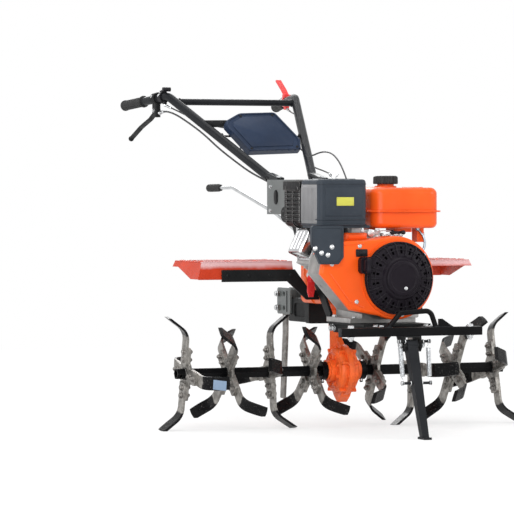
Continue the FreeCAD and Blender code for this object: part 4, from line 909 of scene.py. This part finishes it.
with Piece("carburettor_fittings", "bright", slot="carburettor") as s:
    s.bolts(grid((-66, -14), (-295.2,), (579, 595)), FRONT, 5)
    s.lathe((-40, -296, 588), FRONT, [(0, 12.5), (4, 12.5), (6, 11), (7, 6), (7.4, 0)], 28)
    s.block((-44, -306, 586), (-18, -303.4, 591), 0.8, 1)
    s.lathe((-34, -278, 551), UP, [(0, 5), (1, 8), (4, 14.6), (10.6, 15.4), (11.2, 14)])
    s.hexagon((-34, -278, 552), DOWN, 10, 5)
with Piece("governor_plate", "zinc") as s:
    s.block((-6, -306, 566), (64, -246, 569), 1, 1)
    s.block((-6, -306, 566), (-3, -276, 586), 0.8, 1)
    s.block((26, -306, 556), (52, -303, 590), 1, 1)
    for spot in grid((33, 45), (-306,), (562, 583)):
        s.dome(spot, FRONT, 3.6, 2.4)
    for x, y in ((6, -292), (54, -258)):
        s.bolt((x, y, 569), UP, 6)
    s.coil(V(-4, -301, 578), V(36, -309, 588), 3, 0.7, 18)
    s.coil(V(30, -309, 574), V(66, -300, 582), 2.6, 0.6, 18)
    s.tube([(-30, -308, 592), (-4, -311, 596), (28, -311, 592), (60, -300, 590)], 1.3)
with Piece("governor_lever", "plastic") as s:
    s.block((18, -313, 586), (60, -309.6, 594), 1.4)
    s.lathe((56, -309, 590), FRONT, [(0, 5.5), (9, 6.5), (12, 6), (13, 3), (13.2, 0)], 20, 0, 10, 0.8)
    s.lathe((24, -306, 590), FRONT, [(0, 7), (5, 7), (7.4, 5.6), (7.6, 0)], 24)

cylinder_y = -208
cylinder_rise = math.radians(25)
along_barrel = V(-math.cos(cylinder_rise), 0, math.sin(cylinder_rise))
over_barrel = V(math.sin(cylinder_rise), 0, math.cos(cylinder_rise))


def barrel(distance, offset=0, y=0):
    return V(0, cylinder_y + y, engine_z) + along_barrel * distance + over_barrel * offset


with Piece("rocker_cover", "chrome", slot="cylinder_head") as s:
    turned_axes = Matrix((along_barrel, REAR, over_barrel)).transposed().to_4x4()
    head = Matrix.Translation(barrel(214)) @ turned_axes
    s.block((0.4, -45.2, -40.2), (44.6, 45.2, 40.2), 8.5, 5, head)
    s.block((-0.6, -50, -45), (4, 50, 45), 1.6, 2, head)
    for y in (-24, 0, 24):
        bead = ((258.8, -28), (259.4, -20), (259.4, 20), (258.8, 28))
        s.tube([barrel(out, offset, y) for out, offset in bead], 2.4, 10)
with Piece("cylinder_bolts", "zinc") as s:
    for y, offset in ((-42, -37), (42, -37), (-42, 37), (42, 37)):
        s.bolt(barrel(218.2, offset, y), along_barrel, 6)
    for offset in (-14, 14):
        s.bolt(barrel(200, offset, -54.2), FRONT)
    port = barrel(200, 0, 60.2)
    for a in (35, 215):
        s.bolt(polar(18, a, port.y, port.z) + V(port.x, 0, 0), REAR, 6)
with Piece("spark_plug_boot", "rubber") as s:
    plug = barrel(204, -26, -54)
    s.hexagon(plug, FRONT, 18, 8)
    s.lathe(plug, FRONT, [(8, 6), (20, 5.4), (20.2, 8.4), (24, 9.4), (40, 9), (44, 7), (45, 0)], 24)


def muffler():
    x0, x1, y0, y1, z0, z1 = -222, -98, -214, -78, 606, 728
    beads = [x0 + 28 + 34 * k for k in range(3)]
    with Piece("muffler_guard", "muffler", slot="muffler") as s:
        for i in range(8):
            z = z0 + 18 + 12.4 * i
            s.block((x0 - 4.6, y0 + 16, z), (x0 - 2.4, y1 - 16, z + 6.4), 0.9)
            s.block((x0 + 20, y1 + 2.4, z), (x1 - 20, y1 + 4.6, z + 6.4), 0.9)
        for y in (y0 + 14, y1 - 24):
            s.block((x0 - 3.6, y, z0 + 12), (x0 + 1, y + 9, z1 - 12), 0.9, 1)
        for x in (x0 + 16, x1 - 26):
            s.block((x, y1 - 1, z0 + 12), (x + 9, y1 + 3.6, z1 - 12), 0.9, 1)
        for x in beads:
            s.tube([(x, y0 + 12, z1 + 0.2), (x, y1 - 12, z1 + 0.2)], 3.2, 10)
        s.ring((-160, -54.5, 690), REAR, 12, 2.2, 40)
    with Piece("muffler_bolts", "zinc") as s:
        s.bolts(grid((x0 + 20, x1 - 21), (y1 + 4,), (z0 + 22, z1 - 22)), REAR, 6)
    # a folded heat shield over the top
    shield_x0, shield_x1, top, sheet = x0 - 7.5, x1 + 7.5, z1 + 13, 1.5
    with Piece("muffler_shield", "muffler") as s:
        s.block((shield_x0, y0 + 6, top - sheet), (shield_x1, y1 - 6, top), 0.6)
        for x in (shield_x0, shield_x1 - sheet):
            s.block((x, y0 + 6, z1 - 14), (x + sheet, y1 - 6, top), 0.6)
        s.block((shield_x0, y0 + 6, z1 + 1), (shield_x1, y0 + 6 + sheet, top), 0.6)
        for x, way in ((shield_x0, RIGHT), (shield_x1, LEFT)):
            for y in (y0 + 24, y1 - 24):
                s.dome((x, y, z1 - 8), way, 4.2, 2.4)
        for x in beads:
            s.tube([(x, y0 + 18, top + 0.2), (x, y1 - 18, top + 0.2)], 2.6, 10)


muffler()

with Piece("crankcase_ribs", "aluminium", slot="engine_block") as s:
    for y in range(-274, -153, 30):
        s.block((108.5, y - 3, 350), (114, y + 3, 512), 1.4)
    s.block((108.5, -284, 344), (113, -132, 350), 1.4)
    s.lathe((0, -115, engine_z), REAR, [(0, 90), (4, 90), (6, 88)], 64)
    s.block((96, -290, 338), (120, -262, 372), 4, 3)
with Piece("crankcase_bolts", "zinc") as s:
    for a in spread(8, 0.3):
        s.bolt((87 * math.cos(a), -109, engine_z + 87 * math.sin(a)), REAR)
    for x in (-84, 88):
        for y in (-278, -134):
            s.bolt((x, y, 338), UP)
            s.nut((x, y, 317.9), DOWN)
    s.bolt((113.8, -276, 352), LEFT, 10)
with Piece("oil_plug", "cap") as s:
    s.lathe((120, -276, 364), LEFT, [(0, 9), (4, 10.5), (12, 10.5), (14, 9), (14.4, 0)], 40, 0, 14, 1.2)

# ---- rotor: tine bolts, hub welds, label, collars and pin clips ----

hub_first = 104
hub_pitch = 134
bolt_rows = (42, 66)
tube_weld_flat = 16.2
pin_x = 64
# the side of the hub's plate, outer 1 or inner -1, that holds each tine's bolt heads
even = (1, -1, 1, -1)
odd = (-1, 1, -1, 1)
paired = (1, -1, -1, 1)
hubs = (
    ("left_inner", 1, 0, 30, even), ("left_second", 1, 1, 0, odd),
    ("left_third", 1, 2, 30, paired), ("left_outer", 1, 3, -15, even),
    ("right_inner", -1, 0, 45, even), ("right_second", -1, 1, -8, odd),
    ("right_third", -1, 2, 44, even), ("right_outer", -1, 3, 10, even),
)


def turned(x, radius, degrees):
    # a point on the rotor: degrees lean it forward from straight up
    a = math.radians(degrees)
    return V(x, -radius * math.sin(a), axle_height + radius * math.cos(a))


def hub_details(name, side, index, phase, ways):
    x = hub_first + hub_pitch * index
    with Piece(name + "_tine_bolts", "worn", "rotor", name + "_tines") as s:
        for i, way in enumerate(ways):
            for radius in bolt_rows:
                head = turned(x + way * 11, radius, phase + 90 * i)
                tail = turned(x - way * 4, radius, phase + 90 * i)
                s.bolt(mirror(side, head), (way * side, 0, 0), 9, 0.4 * i + radius)
                s.nut(mirror(side, tail), (-way * side, 0, 0), 9, 0.7 * i)
    with Piece(name + "_hub_welds", "scale", "rotor", name + "_tines") as s:
        for way in both:
            points = []
            for k, a in enumerate(spread(48)):
                # a wavy line round the hexagon tube
                r = tube_weld_flat / math.cos(a % (math.pi / 3) - math.pi / 6) + 0.35 * math.sin(7 * k)
                points.append((side * (x + way * 5), r * math.cos(a), axle_height + r * math.sin(a)))
            s.tube(points, 2.5, closed=True)


for hub in hubs:
    hub_details(*hub)

# blank foil on the front blade of the right outer hub
with Piece("blade_label", "label", "rotor", "right_outer_tines") as s:
    blade_out = V(-0.588, -0.797, -0.140)
    blade_axes = Matrix(((0.809, -0.579, -0.102), (0, -0.1736, 0.985), blade_out)).transposed().to_4x4()
    centre = V(-458.5, -153.3, axle_height - 27) + blade_out * 3.62
    s.block((-20, -14.5, -0.1), (20, 14.5, 0.35), 0.12, 1, Matrix.Translation(centre) @ blade_axes)
with Piece("rotor_collars", "tube", "rotor", "left_rotor_tube") as s:
    for side in both:
        for x in (pin_x - 7.5, pin_x + 7.5):
            s.ring((side * x, 0, axle_height), LEFT, 27.2, 1.2, 40)
        s.lathe((side * pin_x, 0, axle_height - 33), DOWN, [(0, 4.4), (3, 4.4), (4, 3.4)], 16)
with Piece("drive_pin_clips", "zinc", "rotor") as s:
    for side in both:
        hook = ((-9, 0), (9, 0), (12, -3), (9, -6), (2, -6))
        s.tube([(side * pin_x, y, axle_height - 30 + z) for y, z in hook], 1.3)

# ---- gear case ----

column_y = 45
case_bolt_angles = [30 * i + 12 for i in range(12)]
boss_angles = [45 * i + 22.5 for i in range(8)]
boss_radius = 44
cover_z = 438
upper_top = 518

with Piece("gear_case_bosses", "case", slot="gearbox_lower") as s:
    for side in both:
        way = (side, 0, 0)
        s.ring((side * 30, 0, axle_height), way, 55, 2.6, 56)
        s.ring((side * 7, 0, axle_height), way, 76.6, 1.6, 72)
        for a in boss_angles:
            s.lathe(turned(side * 29, boss_radius, a), way, [(0, 7.5), (3, 7), (3.6, 6.2)], 20)
        s.weld((side * 7.2, -60, axle_height - 34), (side * 7.2, -24, axle_height - 74), 2.2)
    s.ring((0, column_y, 352), UP, 20.4, 2.6, 40)
    s.lathe((0, column_y, 300), UP, [(0, 19.4), (2, 22.5), (10, 22.5), (12, 19.4)], 40, caps=False)
with Piece("gear_case_bolts", "case", slot="gearbox_lower") as s:
    for side, fastener in ((-1, s.bolt), (1, s.nut)):
        for i, a in enumerate(case_bolt_angles):
            # none at the bottom, where the keel is
            if not 150 < a < 200:
                fastener(turned(side * 7, 72.4, a), (side, 0, 0), 6, 0.2 * i)
        for i, a in enumerate(boss_angles):
            s.bolt(turned(side * 32.4, boss_radius, a), (side, 0, 0), 6, 0.3 * i)
with Piece("shaft_seals", "rubber") as s:
    for side in both:
        s.lathe((side * 54, 0, axle_height), (side, 0, 0), [(0, 25), (1.2, 24.6), (1.4, 21)], 40)
with Piece("upper_case_bolts", "zinc") as s:
    for side in both:
        for x, z in ((66, 388), (73, 424), (73, 462), (62, 500), (30, 503)):
            s.bolt((side * x, 74.2, z), REAR, 7, 0.1 * side * x)
    for a in spread(6, 0.5):
        s.bolt((27 * math.cos(a), 158.2, cover_z + 27 * math.sin(a)), REAR, 6)
    for a in spread(6, 0.2):
        s.bolt((53 * math.cos(a), -18.1, engine_z + 53 * math.sin(a)), FRONT, 6)
    s.bolts(grid((-30, 30), (90, 134), (upper_top,)), UP, 6)
    s.bolts(grid((-34, 34), (180.1,), (392, 424)), REAR)
with Piece("upper_case_ribs", "case", slot="gearbox_upper") as s:
    for side in both:
        for y in (10, 96, 122):
            s.block((side * 70 - 2.4, y - 3, 392), (side * 70 + 2.4, y + 3, 480), 1.4)
        s.lathe((side * 69, 116, cover_z), (side, 0, 0), [(0, 17), (4, 16), (5, 14.5), (5, 0)])
    s.ring((0, 158, cover_z), REAR, 34, 1.4)
with Piece("oil_filler", "bright") as s:
    s.hexagon((16, 112, upper_top), UP, 22, 12)
    s.lathe((-16, 112, upper_top), UP, [(0, 9), (2, 10), (10, 10), (12, 8), (12.4, 0)], 32, 0, 12, 0.9)
# engagement arm beside the clutch housing
with Piece("clutch_arm", "red", slot="gearbox_upper") as s:
    s.tube([(-54, -30, 446), (-116, -30, 446)], 5.5, 14)
    s.lathe((-114, -30, 446), RIGHT, [(0, 13), (7, 13), (9, 11), (9.4, 0)])
    arm = ((-41, 452), (-19, 452), (-17, 420), (-23, 396), (-39, 396), (-43, 420))
    s.plate([(-114, y, z) for y, z in arm], V(-7, 0, 0), 1.6)
    fork = ((-109, 440), (-131, 440), (-133, 412), (-128, 394), (-112, 394), (-109, 412))
    s.plate([(x, -39, z) for x, z in fork], V(0, -6, 0), 1.6)

# ---- chassis and bumper ----

rail_x = 81
with Piece("frame_bolts", "zinc") as s:
    s.side_bolts(grid((88,), (20, 44), (engine_z,)), 9)
    s.side_bolts(grid((95.2,), (-158, -136), (305,)), 9)
    for side in both:
        s.bolt((side * 190, -490, 318.2), UP, 10)
        s.nut((side * 190, -490, 292.8), DOWN, 10)
        s.bolts(grid((side * rail_x,), (-462, -420), (318.1,)), UP)
with Piece("frame_welds", "black", slot="engine_frame") as s:
    for side in both:
        x = side * rail_x
        for edge in (x - 14, x + 14):
            s.weld((edge, -477.6, 293.6), (edge, -477.6, 317), 2.4)
        s.weld((x - 13, -477.8, 317.8), (x + 13, -477.8, 317.8), 2.2)
        s.weld((side * 67, -168, 297), (side * 67, -140, 297), 2.2)
        s.weld((side * 27.8, -500, 292.4), (side * 27.8, -450, 292.4), 1.8)
        for y in (22, 48):
            s.weld((side * 70.6, y, 441.6), (side * 79.4, y, 441.6), 2)
    for x in (-72, 80):
        s.ring((x, -490, 319), UP, 8.6, 2, 28, 8, 0.25)
    s.weld((90, -493.4, 318.6), (134, -493.4, 318.6), 1.8)
with Piece("bumper_plugs", "plastic") as s:
    for x in (-222.5, 222.5):
        s.block((x - 2.5, -502.2, 293.3), (x + 2.5, -477.8, 317.7), 2)

# ---- stand: springs, rod ends and shoe welds ----

stand_pivot = V(0, -489, 268)
foot_y = -584
stand_run = (V(0, foot_y, 0) - stand_pivot).normalized()
tie = stand_pivot + stand_run * 116
spring_post = stand_pivot + V(0, -22, 10)

for name, side in (("right_stand", -1), ("left_stand", 1)):
    low = tie + V(side * 42, 0, 0)
    high = spring_post + V(side * 45, 0, 0)
    with Piece(name + "_coil", "spring", None, name + "_spring", hides=True) as s:
        s.coil(low, high, 5.8, 1.35, 26, 8, 12)
        for spot in (low, high):
            s.ring(spot, LEFT, 5.2, 1.1, 20, 6)
    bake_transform(s.made)
with Piece("stand_rod_ends", "zinc", "stand") as s:
    for side in both:
        s.washer(tie + V(side * 46, 0, 0), (side, 0, 0), 7, 1.6)
        s.dome(tie + V(side * 46.4, 0, 0), (side, 0, 0), 4.6, 2.4)
        s.ring(tie + V(side * 17.5, 0, 0), LEFT, 5, 1.5, 20, 8, 0.2)
with Piece("stand_bracket_ends", "zinc") as s:
    for side in both:
        s.washer(spring_post + V(side * 50, 0, 0), (side, 0, 0), 6.6, 1.6)
        s.ring(spring_post + V(side * 28.6, 0, 0), LEFT, 4.8, 1.4, 20, 8, 0.2)
    s.tube([stand_pivot + V(-34, y, z) for y, z in ((0, 12), (0, -11), (4, -16))], 1.4)
    s.hexagon(stand_pivot + V(36, 0, 0), LEFT, 17, 6)
with Piece("stand_shoe_welds", "black", "stand", "front_stand") as s:
    for y in (foot_y - 20, foot_y + 20):
        s.tube([(-12, y, 5.2), (12, y, 5.2)], 1.6)
    for x in (-10.4, 10.4):
        s.weld((x, foot_y - 7, 6.2), (x, foot_y + 13, 6.2), 1.8)

# ---- hitch, fenders and the handlebar support ----

with Piece("stake_bolts", "zinc") as s:
    s.side_bolts(grid((30.2,), (434,), (346, 390)), 9)
with Piece("hitch_welds", "satin", slot="rear_hitch") as s:
    for side in both:
        s.weld((side * 17, 181, 312), (side * 17, 181, 374), 2.6)
        s.weld((side * 22.4, 372, 334), (side * 22.4, 372, 400), 1.8)
        s.weld((side * 7.4, 186, 381.4), (side * 7.4, 252, 381.4), 2)
    s.weld((-14, 181, 381.6), (14, 181, 381.6), 2.4)

fender_x0, fender_x1, fender_y0, fender_y1, fender_top = 150, 443, 34, 250, 500


def fender_swages(name, side):
    x0, x1, y0, y1, z = fender_x0, fender_x1, fender_y0, fender_y1, fender_top
    # a rolled edge round the top, and cross swages between the long ridges
    edge = ((x0, y0), (x1 - 4, y0), (x1, y0 + 4), (x1, y1 - 4), (x1 - 4, y1), (x0, y1))
    spans = ((y0 + 10, 90), (102, 136), (148, 182), (194, y1 - 10))
    with Piece(name + "_swages", "fender", slot=name) as s:
        s.tube([(side * x, y, z - 0.8) for x, y in edge], 1.8)
        for x in (x0 + 12, x0 + 104, x0 + 196, x1 - 12):
            for a, b in spans:
                swage = ((a, -1.4), (a + 5, 0.4), (b - 5, 0.4), (b, -1.4))
                s.tube([(side * x, y, z + lift) for y, lift in swage], 2.6)
        # a curled lip below the deep skirt, in front on the right and behind on the left
        y = y0 - 17.6 if side < 0 else y1 + 17.6
        s.tube([(side * x0, y, z - 51.4), (side * (x1 + 17), y, z - 51.4)], 1.9)


fender_swages("right_fender", -1)
fender_swages("left_fender", 1)

with Piece("fender_bar_bolts", "satin") as s:
    for x in (164, 232, 300, 368):
        s.dome((-x, 10.6, 458.5), FRONT, 5.4, 3.4)
        s.nut((-x, 19, 459.5), REAR, 5)
with Piece("fender_bolts", "zinc") as s:
    for x in (172, 280):
        s.dome((x, 112, fender_top), UP, 6.4, 3.4)
        s.nut((x, 112, fender_top - 11), DOWN, 6)
    for y, z in ((30, 392), (22, 404)):
        s.bolt((-80.2, y, z), RIGHT, 7)
    s.bolts(grid((78.2,), (112,), (446, 468)), LEFT)
with Piece("support_bolts", "zinc") as s:
    s.bolts(grid((-52, 52), (104, 130), (506.1,)), UP)
    for x in (-70.4, 70.4):
        s.ring((x, tilt_y, tilt_z), LEFT, 28.4, 1.6, 40, 8, 0.2)

# ---- floor, world and lamps ----


def pale_floor(size=60.0):
    # it keeps the object's shadow, and turns plain white further out
    mesh = bpy.data.meshes.new("floor")
    mesh.from_pydata([(-size, -size, 0), (size, -size, 0), (size, size, 0), (-size, size, 0)], [],
                     [(0, 1, 2, 3)])
    floor = bpy.data.objects.new("floor", mesh)
    scene.collection.objects.link(floor)
    m = material("floor_pale")
    colour = m.mix(m.noise(3.0, 4.0), (0.86, 0.86, 0.86), (0.90, 0.90, 0.90))
    distance = m.add("VectorMath", {0: m.place}, operation="LENGTH").outputs["Value"]
    share = m.times(m.seen(), m.ramp(distance, 1.2, 5.0, 0.62, 1.0))
    matt = m.add("BsdfDiffuse", {"Color": colour}).outputs[0]
    glow = m.add("Emission", {"Strength": 1.0}).outputs[0]
    mesh.materials.append(m.surface(m.add("MixShader", {0: share, 1: matt, 2: glow})))
    floor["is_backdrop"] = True


def white_world():
    # soft light on the object, and plain white wherever the world itself is seen
    m = Nodes(bpy.data.worlds.new("studio"), "World")
    soft, white = [m.add("Background", {"Color": (1.0, 1.0, 1.0), "Strength": strength}).outputs[0]
                   for strength in (0.5, 1.0)]
    scene.world = m.surface(m.add("MixShader", {0: m.seen(), 1: soft, 2: white}))


def soft_lamp(name, spot, size, power):
    lamp = bpy.data.lights.new(name, "AREA")
    lamp.shape = "SQUARE"
    lamp.size = size
    lamp.energy = power
    thing = bpy.data.objects.new(name, lamp)
    thing.location = spot
    thing.rotation_mode = "QUATERNION"
    thing.rotation_quaternion = (Vector((0, 0, 0.5)) - Vector(spot)).to_track_quat("-Z", "Y")
    scene.collection.objects.link(thing)


pale_floor()
white_world()
soft_lamp("key", (-3.2, -5.2, 4.6), 3.2, 180.0)
soft_lamp("front", (-2.6, -6.6, 1.2), 4.0, 215.0)
soft_lamp("left", (-5.6, 0.2, 2.2), 3.0, 150.0)
soft_lamp("fill", (4.6, -4.2, 2.6), 3.0, 110.0)
soft_lamp("top", (0.0, 0.4, 5.6), 4.0, 120.0)
soft_lamp("back", (1.5, 5.5, 3.6), 3.0, 120.0)
scene.view_settings.view_transform = "Standard"

low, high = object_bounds()
